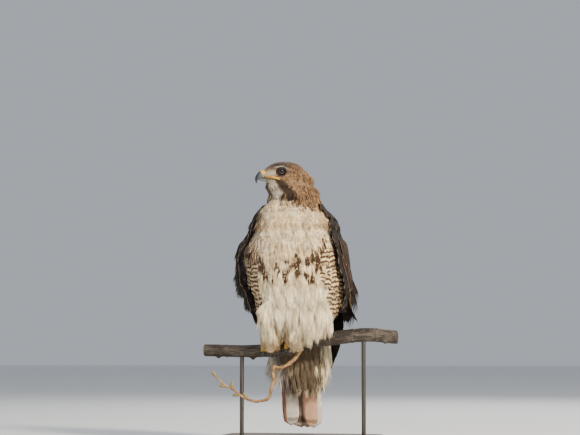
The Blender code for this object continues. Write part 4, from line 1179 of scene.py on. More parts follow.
def coat_tree(shapes, finish):
    """A Geometry Nodes tree that grows a feather from each point of a mesh."""
    tree = bpy.data.node_groups.new("grow_feathers", "GeometryNodeTree")
    sockets = tree.interface
    sockets.new_socket("Geometry", in_out="INPUT", socket_type="NodeSocketGeometry")
    inputs = {}
    for name, kind, value in (("Feather shapes", "NodeSocketCollection", shapes),
                              ("Size", "NodeSocketFloat", 1.0),
                              ("Seed", "NodeSocketInt", SEED),
                              ("Finish", "NodeSocketMaterial", finish)):
        inputs[name] = sockets.new_socket(name, in_out="INPUT", socket_type=kind)
        inputs[name].default_value = value
    sockets.new_socket("Geometry", in_out="OUTPUT", socket_type="NodeSocketGeometry")
    nodes, links = tree.nodes, tree.links
    given = nodes.new("NodeGroupInput")
    out = nodes.new("NodeGroupOutput")
    choose = nodes.new("GeometryNodeCollectionInfo")
    choose.inputs["Separate Children"].default_value = True
    choose.inputs["Reset Children"].default_value = True
    links.new(given.outputs["Feather shapes"], choose.inputs["Collection"])
    pick = nodes.new("FunctionNodeRandomValue")
    pick.data_type = "INT"
    pick.inputs["Min"].default_value = 0
    pick.inputs["Max"].default_value = 3
    links.new(given.outputs["Seed"], pick.inputs["Seed"])
    turn = nodes.new("FunctionNodeAxesToRotation")
    turn.primary_axis = "Z"
    turn.secondary_axis = "Y"
    links.new(named_vector(tree, "stand"), turn.inputs["Primary Axis"])
    links.new(named_vector(tree, "lie"), turn.inputs["Secondary Axis"])
    size = nodes.new("ShaderNodeVectorMath")
    size.operation = "SCALE"
    links.new(named_vector(tree, "size"), size.inputs[0])
    links.new(given.outputs["Size"], size.inputs["Scale"])
    grow = nodes.new("GeometryNodeInstanceOnPoints")
    grow.inputs["Pick Instance"].default_value = True
    links.new(given.outputs["Geometry"], grow.inputs["Points"])
    links.new(choose.outputs[0], grow.inputs["Instance"])
    links.new(pick.outputs[2], grow.inputs["Instance Index"])
    links.new(turn.outputs["Rotation"], grow.inputs["Rotation"])
    links.new(size.outputs[0], grow.inputs["Scale"])
    real = nodes.new("GeometryNodeRealizeInstances")
    links.new(grow.outputs["Instances"], real.inputs["Geometry"])
    dress = nodes.new("GeometryNodeSetMaterial")
    links.new(real.outputs["Geometry"], dress.inputs["Geometry"])
    links.new(given.outputs["Finish"], dress.inputs["Material"])
    links.new(dress.outputs["Geometry"], out.inputs["Geometry"])
    return tree, inputs


def named_vector(tree, name):
    node = tree.nodes.new("GeometryNodeInputNamedAttribute")
    node.data_type = "FLOAT_VECTOR"
    node.inputs["Name"].default_value = name
    return node.outputs[0]


def quill(point, normal, lie, look, rng):
    """A feather's root and all that the tree and the material need to know of it."""
    tilt = math.radians(look["tilt"] * rng.uniform(0.75, 1.3))
    sway = math.radians(rng.gauss(0.0, 7.0))
    lie = (Matrix.Rotation(sway, 3, normal) @ lie).normalized()
    long_way = lie * math.cos(tilt) + normal * math.sin(tilt)
    stand = normal * math.cos(tilt) - lie * math.sin(tilt)
    length = look["length"] * rng.uniform(0.85, 1.15)
    width = look["width"] * rng.uniform(0.9, 1.12)
    return {
        "place": point - normal * 0.0006, "lie": long_way, "stand": stand,
        "size": (width, length, length), "tint": look["tint"], "mark": look["mark"],
        "edge": look["edge"], "pattern": (look["streak"], look["bars"], look["fringe"]),
        "chance": (rng.random(), look["shaft"], rng.random()), "kind": look["kind"],
    }


def grow_coat(name, quills, growing, root_uv):
    """A coat piece: feathers on the given quills, as one plain mesh."""
    tree, inputs, shapes = growing
    mesh = bpy.data.meshes.new(name)
    mesh.from_pydata([tuple(q["place"]) for q in quills], [], [])
    for key in ("lie", "stand", "size", "pattern", "chance", "tint", "mark", "edge"):
        keep_values(mesh, key, [q[key] for q in quills])
    keep_values(mesh, "root_place", [(*root_uv(q), 0.0) for q in quills])
    coat = new_object(name, mesh)
    grower = coat.modifiers.new("grow", "NODES")
    grower.node_group = tree
    grower[inputs["Seed"].identifier] = SEED + len(quills)
    grower[inputs["Feather shapes"].identifier] = shapes[quills[0]["kind"]]
    apply_modifiers(coat)
    add_bake_map(coat.data)
    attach(coat, "root")
    return coat


def add_bake_map(mesh):
    """Each feather is a small patch at its root's place on the skin's unwrap."""
    patch = 0.003
    corners = len(mesh.loops)
    vertex = np.empty(corners, dtype=np.int32)
    mesh.loops.foreach_get("vertex_index", vertex)
    roots = np.empty(len(mesh.vertices) * 3)
    mesh.attributes["root_place"].data.foreach_get("vector", roots)
    vane = np.empty(corners * 2)
    mesh.uv_layers["vane"].data.foreach_get("uv", vane)
    place = roots.reshape(-1, 3)[vertex, :2] + (vane.reshape(-1, 2) - 0.5) * patch
    layer = mesh.uv_layers.new(name="OFBake")
    layer.data.foreach_set("uv", place.ravel())


def body_root_uv(q):
    """The skin unwrapped round its height."""
    angle = math.radians(body_angle(q["place"]))
    return 0.5 + 0.48 * angle / math.pi, mix(0.02, 0.98, (q["place"].z - 0.165) / 0.315)


def head_root_uv(q):
    """The head unwrapped round the line from nape to bill."""
    forward, left, up = head_inverse @ q["place"]
    angle = math.atan2(left, up)
    return 0.5 + 0.48 * angle / math.pi, mix(0.02, 0.98, (forward + 0.055) / 0.105)


def scatter(skin, rng, density):
    """Random places on a surface, evenly spread, each with its normal."""
    mesh = skin.data
    mesh.calc_loop_triangles()
    corners = np.array([t.vertices[:] for t in mesh.loop_triangles])
    coords = np.empty(len(mesh.vertices) * 3)
    mesh.vertices.foreach_get("co", coords)
    coords = coords.reshape(-1, 3)
    normals = np.empty(len(mesh.vertices) * 3)
    mesh.vertices.foreach_get("normal", normals)
    normals = normals.reshape(-1, 3)
    a, b, c = (coords[corners[:, i]] for i in range(3))
    areas = np.linalg.norm(np.cross(b - a, c - a), axis=1) / 2
    count = int(areas.sum() * density)
    chosen = rng.choice(len(areas), count, p=areas / areas.sum())
    r = np.sqrt(rng.random((count, 1)))
    s = rng.random((count, 1))
    weights = np.hstack((1 - r, r * (1 - s), r * s))
    spots = sum(weights[:, i:i + 1] * coords[corners[chosen, i]] for i in range(3))
    facing = sum(weights[:, i:i + 1] * normals[corners[chosen, i]] for i in range(3))
    facing /= np.linalg.norm(facing, axis=1, keepdims=True)
    return spots, facing


def thin_out(candidates):
    """Keeps places that stand off from one another by a share of their feathers' width."""
    cell = 0.0025
    grid = {}
    kept = []
    for item in candidates:
        point, look = item[0], item[2]
        spacing = max(look["width"] * look["space"], 0.0016)
        key = (int(point.x // cell), int(point.y // cell), int(point.z // cell))
        reach = int(spacing // cell) + 1
        clear = True
        for dx in range(-reach, reach + 1):
            for dy in range(-reach, reach + 1):
                for dz in range(-reach, reach + 1):
                    for other in grid.get((key[0] + dx, key[1] + dy, key[2] + dz), ()):
                        if (other - point).length_squared < spacing * spacing:
                            clear = False
        if clear:
            grid.setdefault(key, []).append(point)
            kept.append(item)
    return kept


def body_quills(skin):
    """Roots for all of the small feathers of the head, neck, body and legs."""
    spots, facing = scatter(skin, np.random.default_rng(SEED), 420000.0)
    rng = random.Random(SEED)
    candidates = []
    for spot, normal in zip(spots, facing):
        point, normal = Vector(spot), Vector(normal)
        if not covered_place(point):
            candidates.append((point, normal, plumage_at(point, rng)))
    kept = thin_out(candidates)
    return [quill(p, n, coat_lie(p, n), look, rng) for p, n, look in kept]


def hem_quills(rng):
    """The long soft feathers of the lower belly, which hang down over the legs and the perch."""
    quills = []
    for height in (0.226, 0.236, 0.247, 0.258):
        for k in range(34):
            angle = math.radians(mix(-62, 58, (k + rng.random()) / 34))
            point = section_point(body_track(height), height, angle, -BODY_COAT - 0.001)
            normal = (point - Vector((0.0, 0.004, height))).normalized()
            end = hem_end(seen_side(point)) + rng.uniform(-0.004, 0.008) + 0.6 * (height - 0.226)
            lie = (-UP + Vector((rng.gauss(0.0, 0.05), 0.06, 0.0))).normalized()
            # Darkened towards SHADE_BUFF by a random share, and more on the hawk's right side: painted
            # shade
            tint = blend(BELLY_WHITE, SHADE_BUFF, rng.uniform(0.0, 0.45) + 0.3 * (angle < -0.5))
            look = feather_look(tint, SHADE_BUFF, length=height - end, width=0.012, tilt=3.0)
            quills.append(quill(point, normal, lie, look, rng))
    return quills


def hem_end(across):
    """How low the belly's feathers hang: short over the toes, longest on the hawk's left."""
    low = mix(0.194, 0.176, ease(-0.02, 0.006, across))
    return low + 0.02 * ease(0.024, 0.06, across) - 0.004 * hump(-0.045, 0.02, across)


def make_coat(skin, growing):
    pieces = {("hem", "plume"): hem_quills(random.Random(SEED + 40))}
    for q in body_quills(skin):
        pieces.setdefault((coat_region(q["place"]), q["kind"]), []).append(q)
    for (region, kind), members in sorted(pieces.items()):
        unwrap = head_root_uv if region.startswith("head") else body_root_uv
        grow_coat(f"coat_{region}_{kind}", members, growing, unwrap)


def coat_region(point):
    side = "left" if body_angle(point) > 0 else "right"
    if point.z > 0.47:
        return "head_" + side
    if point.z > 0.435:
        return "neck_" + side
    if abs(body_angle(point)) > 98:
        return "back"
    part = "belly_" if point.z < 0.315 else "breast_"
    return part + side


# Long feathers

def vane_mesh(shape, place, length_steps, half_width, thickness, width_at, rng, values):
    """Adds one long closed feather to a growing mesh, with the next strip on the bake map."""
    row = shape["row"][-1] + 1 if shape["row"] else 0
    shares = (-1.0, -0.72, -0.36, 0.0, 0.36, 0.72, 1.0)
    across = len(shares)
    start = len(shape["points"])
    nicks = {rng.randrange(4, length_steps - 2): rng.choice((-1, 1)) for _ in range(2)}
    for k in range(length_steps):
        s = k / (length_steps - 1)
        width = half_width * width_at(s)
        for i, share in enumerate(shares):
            offset = width * share
            if abs(share) == 1.0:
                offset *= 1.0 + rng.uniform(-0.05, 0.03)
                if nicks.get(k) == share:
                    offset *= 0.8
            slant = min(s + 0.01 * (1.0 - abs(share)) * min(8 * (1.0 - s), 1.0), 1.0)
            point, normal = place(slant, offset)
            crown = thickness * (0.5 + 1.2 * (share == 0.0)) * (1.0 - 0.6 * s)
            rim = 1.0 if abs(share) < 1.0 else 0.18
            for sign in (1, -1):
                shape["points"].append(point + normal * crown * rim * sign)
                shape["uvs"].append((0.5 + 0.5 * share, s))
                shape["row"].append(row)
                for key, value in values.items():
                    shape[key].append(value)
    def at(k, i, face):
        return start + (k * across + i) * 2 + face
    for k in range(length_steps - 1):
        for i in range(across - 1):
            shape["faces"].append((at(k, i, 0), at(k, i + 1, 0), at(k + 1, i + 1, 0), at(k + 1, i, 0)))
            shape["faces"].append((at(k, i, 1), at(k + 1, i, 1), at(k + 1, i + 1, 1), at(k, i + 1, 1)))
        for i in (0, across - 1):
            shape["faces"].append((at(k, i, 0), at(k + 1, i, 0), at(k + 1, i, 1), at(k, i, 1)))
    for k in (0, length_steps - 1):
        for i in range(across - 1):
            shape["faces"].append((at(k, i, 0), at(k, i, 1), at(k, i + 1, 1), at(k, i + 1, 0)))


def start_shape():
    keys = ("points", "faces", "uvs", "row", "tint", "mark", "edge", "pattern", "chance")
    return {key: [] for key in keys}


def long_values(tint, mark, edge, streak, bars, fringe, shaft, rng):
    luck = rng.uniform(0.9, 1.1)
    return {
        "tint": tuple(luck * value for value in tint), "mark": mark, "edge": edge,
        "pattern": (streak, bars, fringe), "chance": (rng.random(), shaft, rng.random()),
    }


def finish_shape(name, shape, material):
    """The long feathers as one piece, each with its own strip on the bake map."""
    obj = mesh_object(name, shape["points"], shape["faces"])
    mesh = obj.data
    for key in ("pattern", "chance", "tint", "mark", "edge"):
        keep_values(mesh, key, shape[key])
    keep_vane_map(mesh, shape["uvs"])
    count = max(shape["row"]) + 1
    bake = mesh.uv_layers.new(name="OFBake")
    for loop in mesh.loops:
        u, v = shape["uvs"][loop.vertex_index]
        row = shape["row"][loop.vertex_index]
        bake.data[loop.index].uv = ((row + 0.05 + 0.9 * u) / count, 0.01 + 0.98 * v)
    face_outwards(obj)
    mesh.materials.append(material)
    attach(obj, "root")
    return obj


def wing_angle(share, height, sign):
    front, back = wing_edges(height)
    return sign * math.radians(mix(front, back, share))


def wing_point(share, height, lift, sign):
    """A place on the folded wing: share 0 is its front edge, 1 its edge at the back."""
    return section_point(body_track(height), height, wing_angle(share, height, sign), lift)


def wing_normal(share, height, sign):
    step = 0.01
    across = wing_point(share + step, height, 0, sign) - wing_point(share - step, height, 0, sign)
    rise = wing_point(share, height + step, 0, sign) - wing_point(share, height - step, 0, sign)
    return (across.cross(rise) * sign).normalized()


def wing_flare(share, height, sign):
    return float(wing_flares[sign](height)[0]) * max(1.0 - FLARE_FADE * share, 0.0)


def vane_width(root, swell, tip):
    """Narrow at the quill, full along the middle and rounded at the tip."""
    def width(s):
        return min(1.0, root + swell * s) * math.sqrt(max(1.0 - s ** tip, 0.0)) + 0.02
    return width


quill_width = vane_width(0.40, 1.8, 9)
primary_width = vane_width(0.45, 1.5, 5)
tail_width = vane_width(0.35, 1.3, 22)


def wing_feather_place(sign, start, end, stand_off):
    """The way from a root to a tip on the wing, each a share and a height."""
    def place(s, offset):
        share = mix(start[0], end[0], s)
        height = mix(start[1], end[1], s)
        step = wing_point(share + 0.02, height, 0, sign) - wing_point(share, height, 0, sign)
        here = max(share + 0.02 * offset / step.length, -0.1)
        rise = ease(0.0, 0.32, s) if stand_off > 0.004 else min(s / 0.14, 1.0)
        full = stand_off + mix(*WING_LIFTS, here) + wing_flare(here, height, sign)
        lift = mix(0.001, full, rise) - 0.001 * offset / 0.01
        return wing_point(here, height, lift, sign), wing_normal(here, height, sign)
    return place


def wing_tier(shape, name, sign, rng):
    """One tier of feathers along the arm."""
    (count, first, last), root, tips, half_width, stand_off = WING_TIERS[name]
    for k in range(count):
        share = mix(first, last, k / (count - 1))
        tip = mix(*tips, share) + rng.uniform(-0.003, 0.003)
        if name == "secondary" and sign > 0 and share < 0.35:
            tip += 0.075 * share
        start, end = (mix(share, 0.5, 0.04), root), (share, tip)
        fade = ease(0.1, 0.3, share)
        if name == "secondary":
            values = long_values(blend(BAR_BROWN, WING_BROWN, 0.65 + 0.35 * fade), DARK_BROWN,
                                 blend(TAWNY, FRINGE_BROWN, 0.6), 0.06, 9.0,
                                 mix(0.3, 0.06, fade), 0.5, rng)
        else:
            paleness = mix(0.5 * EDGE_PALENESS[sign][1], 0.1, fade)
            values = long_values(blend(WING_BROWN, FRINGE_BROWN, 0.06), DARK_BROWN,
                                 blend(FRINGE_BROWN, PALE_FRINGE, paleness),
                                 0.1, 0.0, 0.16, 0.6, rng)
        vane_mesh(shape, wing_feather_place(sign, start, end, stand_off), 16, half_width,
                  0.0005, quill_width, rng, values)


def primary_place(sign, start, end, length, layer):
    outward = Vector((HAND_OUTWARD.x * sign, HAND_OUTWARD.y, 0.0)).normalized()
    across = Vector((outward.y * sign, -outward.x * sign, 0.0))
    down = Vector((HAND_DOWN.x * sign, HAND_DOWN.y, HAND_DOWN.z))
    origin = Vector((HAND_ORIGIN.x * sign, HAND_ORIGIN.y, HAND_ORIGIN.z))

    def place(s, offset):
        side = mix(start, end, s) + PRIMARY_BOW * 4 * s * (1 - s) + offset
        side += HAND_SPREAD[sign] * (1 - s * s)
        drop = mix(-0.012, length, s)
        camber = -0.0006 * (offset / 0.01) ** 2
        return origin + across * side + down * drop + outward * (layer + camber), outward
    return place


def make_primaries(shape, sign, rng):
    """The long feathers of the hand, stacked, with their tips beside the tail."""
    table = Track(PRIMARIES)
    for k in range(PRIMARY_COUNT):
        key = mix(0.0, 5.0, k / (PRIMARY_COUNT - 1))
        start, end, length = table(key)
        layer = 0.0012 * key
        values = long_values(blend(WING_BROWN, DARK_BROWN, 0.5), DARK_BROWN, FRINGE_BROWN,
                             0.1, 0.0, 0.05, 0.7, rng)
        place = primary_place(sign, start, end, length + rng.uniform(-0.002, 0.002), layer)
        vane_mesh(shape, place, 22, mix(0.01, 0.0115, key / 5), 0.0006, primary_width, rng, values)


def make_arm(side, sign):
    """The arm's own flesh below the wing's small feathers."""
    rings = []
    for height in np.linspace(0.446, 0.246, 30):
        thickness = float(wing_thickness(height)[0])
        ring = []
        for share in np.linspace(0.0, 1.0, 20):
            crown = 0.6 + 0.4 * math.sin(math.pi * min(max(share, 0.04), 0.96)) ** 0.6
            lift = mix(*WING_LIFTS, share) * thickness * crown - 0.0008
            lift += wing_flare(share, height, sign) * thickness
            ring.append(wing_point(share, height, lift, sign))
        for share in np.linspace(1.0, 0.0, 8):
            ring.append(wing_point(share, height, -0.007, sign))
        rings.append(ring)
    arm = loft("arm_" + side, rings)
    keep_values(arm.data, "tint", [WING_BROWN] * len(arm.data.vertices))
    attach(arm, "root")
    return arm


def lesser_quills(sign, rng):
    """The small feathers of the shoulder, and the scapulars that lie over the back."""
    quills = []
    for level, height in enumerate(np.linspace(0.35, 0.446, 17)):
        count = 19
        for k in range(count):
            share = (k + 0.5 * (level % 2) + rng.uniform(-0.25, 0.25)) / (count - 0.5)
            share = min(max(share, -0.03), 1.0)
            height += rng.uniform(-0.002, 0.002)
            thickness = float(wing_thickness(height)[0])
            lift = mix(*WING_LIFTS, share) * thickness + wing_flare(share, height, sign)
            scapular = ease(0.55, 0.75, share)
            lift += (0.0012 + 0.003 * scapular) * ease(0.45, 0.435, -height + 0.885)
            point = wing_point(share, height, lift, sign)
            normal = wing_normal(min(max(share, 0.0), 1.0), height, sign)
            down = (-UP + normal * normal.z).normalized()
            fringe = blend(FRINGE_BROWN, PALE_FRINGE, rng.uniform(0.0, 0.5))
            tint = blend(WING_BROWN, FRINGE_BROWN, rng.uniform(0.0, 0.15))
            pale = rng.random() < 0.3 * scapular
            look = feather_look(blend(tint, PALE_FRINGE, 0.5 * pale), DARK_BROWN, fringe,
                                streak=0.3, fringe=0.15, shaft=0.5, kind="blade",
                                length=mix(0.02, 0.028, scapular),
                                width=mix(0.0115, 0.0165, scapular), tilt=10.0)
            quills.append(quill(point, normal, down, look, rng))
    return quills + edge_quills(sign, rng)


def edge_quills(sign, rng):
    """Coverts that overlap along the wing's front edge, each with a pale rim."""
    quills = []
    for height in np.linspace(0.27, 0.418, 30):
        for share in (-0.06, -0.01, 0.05, 0.11):
            share += rng.uniform(-0.02, 0.02)
            flare = wing_flare(max(share, 0.0), height, sign)
            lift = WING_LIFTS[0] * float(wing_thickness(height)[0]) + flare + 0.0022
            point = wing_point(share, height, lift, sign)
            normal = wing_normal(max(share, 0.0), height, sign)
            down = (-UP + normal * normal.z).normalized()
            out = wing_point(share, height, 0, sign) - wing_point(share + 0.05, height, 0, sign)
            lie = (down + out.normalized() * 0.1).normalized()
            fringe = blend(FRINGE_BROWN, PALE_FRINGE, rng.uniform(*EDGE_PALENESS[sign]))
            look = feather_look(blend(WING_BROWN, SHADE_GREY, 0.06), DARK_BROWN, fringe,
                                streak=0.3, fringe=0.2,
                                shaft=0.4, length=0.026, width=0.011, tilt=7.0, kind="blade")
            quills.append(quill(point, normal, lie, look, rng))
    return quills + (tip_quills(rng) if sign > 0 else gap_quills(rng))


def tip_quills(rng):
    """Dark feathers whose stepped tips stand out below the left wing's front edge."""
    quills = []
    for root, tip in (((0.094, 0.006, 0.318), (0.1085, 0.004, 0.262)),
                      ((0.094, 0.008, 0.304), (0.1105, 0.004, 0.247)),
                      ((0.092, 0.01, 0.292), (0.111, 0.006, 0.233)),
                      ((0.09, 0.012, 0.28), (0.109, 0.008, 0.22))):
        root, tip = Vector(root), Vector(tip)
        lie = (tip - root).normalized()
        normal = Vector((0.45, -0.85, 0.0))
        normal = (normal - lie * normal.dot(lie)).normalized()
        look = feather_look(WING_BROWN, DARK_BROWN, FRINGE_BROWN, streak=0.2, fringe=0.06,
                            shaft=0.5, length=(tip - root).length, width=0.02, tilt=1.0,
                            kind="blade")
        quills.append(quill(root, normal, lie, look, rng))
    return quills


def gap_quills(rng):
    """Coverts between the right wing's edge and the breast, and its stepped tips outside."""
    facing = Vector((math.sin(CAMERA_TURN), -math.cos(CAMERA_TURN), 0.0))
    quills = []
    for height in np.linspace(0.268, 0.432, 24):
        for t in (0.05, 0.4, 0.75):
            point = outer_edge(height, 0.0).lerp(wing_point(0.0, height, 0.0, -1), t)
            point += facing * 0.0025 + UP * rng.uniform(-0.003, 0.003)
            lie = (-UP + Vector((-0.15, 0.0, 0.0))).normalized()
            # The grey in these coverts and in their rims is painted shade on the right wing
            rim = blend(SHADE_GREY, PALE_FRINGE, rng.uniform(0.0, 1.0))
            look = feather_look(blend(WING_BROWN, SHADE_GREY, 0.16), DARK_BROWN, rim, streak=0.2,
                                fringe=0.2, length=0.026, width=0.0115, tilt=6.0, kind="blade")
            quills.append(quill(point, facing, lie, look, rng))
    for height in STEP_HEIGHTS:
        root, tip = outer_edge(height + 0.03, -0.001), outer_edge(height, 0.0045)
        lie = (tip - root).normalized()
        look = feather_look(WING_BROWN, DARK_BROWN, FRINGE_BROWN, fringe=0.1,
                            length=(tip - root).length, width=0.015, tilt=1.0, kind="blade")
        quills.append(quill(root, facing, lie, look, rng))
    return quills


def outer_edge(height, stand_off):
    """The right wing's outline as the camera sees it, at one height."""
    places = []
    for share in np.linspace(0.0, 0.6, 13):
        lift = mix(*WING_LIFTS, share) * float(wing_thickness(height)[0])
        lift += wing_flare(share, height, -1) + stand_off
        places.append(wing_point(share, height, lift, -1))
    return min(places, key=seen_side)


def wing_root_uv(q):
    angle = math.atan2(q["place"].x, -q["place"].y)
    return 0.5 + 0.48 * angle / math.pi, mix(0.02, 0.98, (q["place"].z - 0.32) / 0.13)


def make_wing(side, sign, growing, plumage, down):
    rng = random.Random(SEED + 3 * sign)
    arm = make_arm(side, sign)
    arm.data.materials.append(down)
    shape = start_shape()
    make_primaries(shape, sign, rng)
    for name in WING_TIERS:
        wing_tier(shape, name, sign, rng)
    long_feathers = finish_shape("wing_feathers_" + side, shape, plumage)
    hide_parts("wing_" + side)
    grow_coat("wing_coat_" + side, lesser_quills(sign, rng), growing, wing_root_uv)


# Tail

def tail_point(across, along, lift):
    axis = TAIL_TIP - TAIL_ROOT
    back = axis.cross(Vector((1.0, 0.0, 0.0))).normalized()
    return TAIL_ROOT + axis * along + Vector((across, 0.0, 0.0)) + back * lift


def make_tail_feathers(shape, rng):
    """Twelve feathers: the middle pair at the back, each outer pair in front of the last."""
    normal = (tail_point(0, 0, 1) - tail_point(0, 0, 0)).normalized()
    for pair in range(TAIL_PAIRS):
        t = pair / (TAIL_PAIRS - 1)
        for order, sign in enumerate((1, -1)):
            layer = (5.5 - 2 * (TAIL_PAIRS - 1 - pair) - order) * TAIL_STEP
            offset, half_width = mix(*TAIL_OFFSETS, t), TAIL_HALF_WIDTH
            tip = mix(1.0, 0.965, t) - rng.uniform(0.0, 0.008)
            if (pair, sign) in OUTER_FEATHERS:
                offset, half_width, tip = OUTER_FEATHERS[pair, sign]

            def place(s, across, sign=sign, offset=offset, layer=layer, tip=tip):
                camber = -0.001 * (across / TAIL_HALF_WIDTH) ** 2
                across += sign * offset * mix(0.45, 1.0, min(s * 1.6, 1.0))
                return tail_point(across, mix(0.05, tip, s), layer + camber), normal
            web, inner = TAIL_LOOKS.get((pair, sign), (TAIL_UNDER, TAIL_UNDER))
            values = long_values(inner, TAIL_EDGE, web, 0.0, 0.0, 0.05, 0.9, rng)
            values["pattern"] = (0.5 + 0.5 * sign, 0.0, 0.0)
            vane_mesh(shape, place, 24, half_width, 0.0005, tail_width, rng, values)


def tail_material(name):
    """Pale pink below, brick red above, with a dark band before the pale tip."""
    material, tree = start_material(name, roughness=0.7, specular=0.3, sheen=0.1)
    u, v = map_place(tree, "vane")
    across = times(tree, gap(tree, u, 0.5), 2.0)
    behind = smooth_range(tree, split(tree, attribute(tree, "facing", "Vector"))[1], -0.2, 0.2)
    ground = mix_colour(tree, behind, attribute(tree, "tint", "Color"), TAIL_RED)
    rough = times(tree, minus(tree, object_noise(tree, 160.0), 0.5), 0.05)
    along = maths(tree, "ADD", v, rough)
    band = times(tree, smooth_range(tree, along, 0.895, 0.91),
                 smooth_range(tree, along, 0.945, 0.96, 1.0, 0.0))
    strength = mix_colour(tree, behind, (0.6, 0.6, 0.6), (1.0, 1.0, 1.0))
    band = times(tree, band, split(tree, strength)[0])
    colour = mix_colour(tree, band, ground, BAND_BROWN)
    tip = smooth_range(tree, along, 0.955, 0.975)
    colour = mix_colour(tree, tip, colour, (0.7, 0.6, 0.48))
    # The outer web is the narrow one beyond the shaft
    outer = split(tree, attribute(tree, "pattern", "Vector"))[0]
    flipped = gap(tree, minus(tree, 1.0, outer), u)
    web = smooth_range(tree, flipped, 0.74, 0.78)
    web = times(tree, web, minus(tree, 1.0, behind))
    colour = mix_colour(tree, web, colour, attribute(tree, "edge", "Color"))
    shaft = smooth_range(tree, gap(tree, flipped, 0.74), 0.012, 0.03, 1.0, 0.0)
    colour = mix_colour(tree, times(tree, shaft, 0.7), colour, (0.62, 0.5, 0.38))
    barbs = barb_lines(tree, v, across, 150.0, 16.0)
    shade = maths(tree, "MULTIPLY_ADD", barbs, 0.05, 1.0)
    blotches = smooth_range(tree, object_noise(tree, 60.0), 0.2, 0.8, 0.85, 1.12)
    shade = times(tree, shade, blotches)
    height = maths(tree, "MULTIPLY_ADD", barbs, 0.3, times(tree, shaft, 2.0))
    return paint(material, shade_colour(tree, colour, shade), height, 0.0003, 0.6)


def tail_coat_quills(rng):
    """Soft feathers over the root of the tail, in front and behind."""
    track = Track(TAIL_ROOT_SECTIONS)
    quills = []
    for level, height in enumerate(np.linspace(0.126, 0.232, 15)):
        row = track(height)
        count = 26
        for k in range(count):
            angle = math.tau * (k + 0.5 * (level % 2) + rng.uniform(-0.25, 0.25)) / count
            point = section_point(row, height + rng.uniform(-0.003, 0.003), angle, -0.002)
            normal = Vector((math.sin(angle), -math.cos(angle), 0.15)).normalized()
            down = (-UP + normal * normal.z).normalized()
            if math.cos(angle) > -0.2:
                # The coverts below the tail are painted in shade: dark, paler at the hawk's left edge,
                # and greyer still on its right side
                edge = ease(0.72, 0.97, math.sin(angle))
                tint = blend(SHADED_UNDERTAIL, BELLY_WHITE, 0.7 * edge)
                tint = blend(tint, SHADE_GREY, 0.6 * ease(0.5, 0.95, -math.sin(angle)))
                fleck = rng.random() < 0.05
                look = feather_look(blend(tint, BELLY_WHITE, 0.7 * fleck), SHADED_UNDERTAIL,
                                    length=0.044, width=0.012, tilt=5.0)
            else:
                look = feather_look(blend(TAIL_RED, WING_BROWN, 0.35), DARK_BROWN, PALE_FRINGE,
                                    bars=2.0, fringe=0.2, length=0.034, width=0.017, tilt=7.0)
            quills.append(quill(point, normal, down, look, rng))
    return quills + plume_quills(rng)


def plume_quills(rng):
    """Loose soft feathers that hang behind the perch on the hawk's right."""
    quills = []
    for start, end, width in (((-0.046, 0.04, 0.178), (-0.062, 0.029, 0.102), 0.017),
                              ((-0.04, 0.041, 0.176), (-0.056, 0.031, 0.11), 0.018),
                              ((-0.036, 0.042, 0.172), (-0.046, 0.033, 0.098), 0.018),
                              ((-0.03, 0.041, 0.172), (-0.038, 0.033, 0.112), 0.018),
                              ((-0.048, 0.04, 0.184), (-0.06, 0.03, 0.122), 0.018),
                              ((0.034, 0.044, 0.16), (0.05, 0.05, 0.104), 0.016)):
        start, end = Vector(start), Vector(end)
        lie = (end - start).normalized()
        normal = (Vector((0.0, -1.0, 0.0)) + lie * lie.y).normalized()
        # Painted shade: white feathers greyed where they hang behind the perch
        tint = blend(SHADE_GREY, WHITE, 0.35)
        for _ in range(3):
            shift = Vector((rng.uniform(-0.003, 0.003), rng.uniform(-0.002, 0.002), 0.0))
            look = feather_look(tint, SHADE_BUFF, WHITE, length=(end - start).length,
                                width=width, tilt=2.0)
            quills.append(quill(start + shift, normal, lie, look, rng))
    return quills


def tail_root_uv(q):
    angle = math.atan2(q["place"].x + 0.004, -(q["place"].y - 0.05))
    return 0.5 + 0.48 * angle / math.pi, mix(0.02, 0.98, (q["place"].z - 0.09) / 0.16)


def make_tail(growing, down):
    rng = random.Random(SEED + 20)
    rings = []
    for height in np.linspace(0.234, 0.115, 20):
        row = Track(TAIL_ROOT_SECTIONS)(height)
        rings.append([section_point(row, height, math.tau * i / 40, -0.003) for i in range(40)])
    rump = loft("rump", rings)
    keep_values(rump.data, "tint", [SHADE_BUFF] * len(rump.data.vertices))
    rump.data.materials.append(down)
    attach(rump, "root")
    shape = start_shape()
    make_tail_feathers(shape, rng)
    tail = finish_shape("tail_feathers", shape, tail_material("tail_vane"))
    keep_values(tail.data, "facing", [face.normal for face in tail.data.polygons], "FACE")
    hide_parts("tail")
    grow_coat("tail_coat", tail_coat_quills(rng), growing, tail_root_uv)


# Head

def bill_tube(name, rows, start, end, steps, sides=40):
    """A flattened tube along the bill's spine, from one row number to another."""
    spine = Track([(i, *row) for i, row in enumerate(rows)])
    rings = []
    for i in range(steps):
        key = mix(start, end, i / (steps - 1))
        forward, up, half_width, half_height = spine(key)
        ahead = spine(min(key + 0.45, len(rows) - 1))
        behind = spine(max(key - 0.45, 0))
        along = Vector((ahead[0] - behind[0], 0.0, ahead[1] - behind[1])).normalized()
        rise = Vector((-along.z, 0.0, along.x))
        ring = []
        for j in range(sides):
            angle = math.tau * j / sides
            # The cutting edge is drawn down and the ridge narrowed
            narrow = 1.0 - 0.16 * max(math.cos(angle), 0.0) ** 2
            point = Vector((forward, half_width * math.sin(angle) * narrow, up))
            point += rise * half_height * math.cos(angle)
            ring.append(head_point(*point))
        rings.append(ring)
    return loft(name, rings)


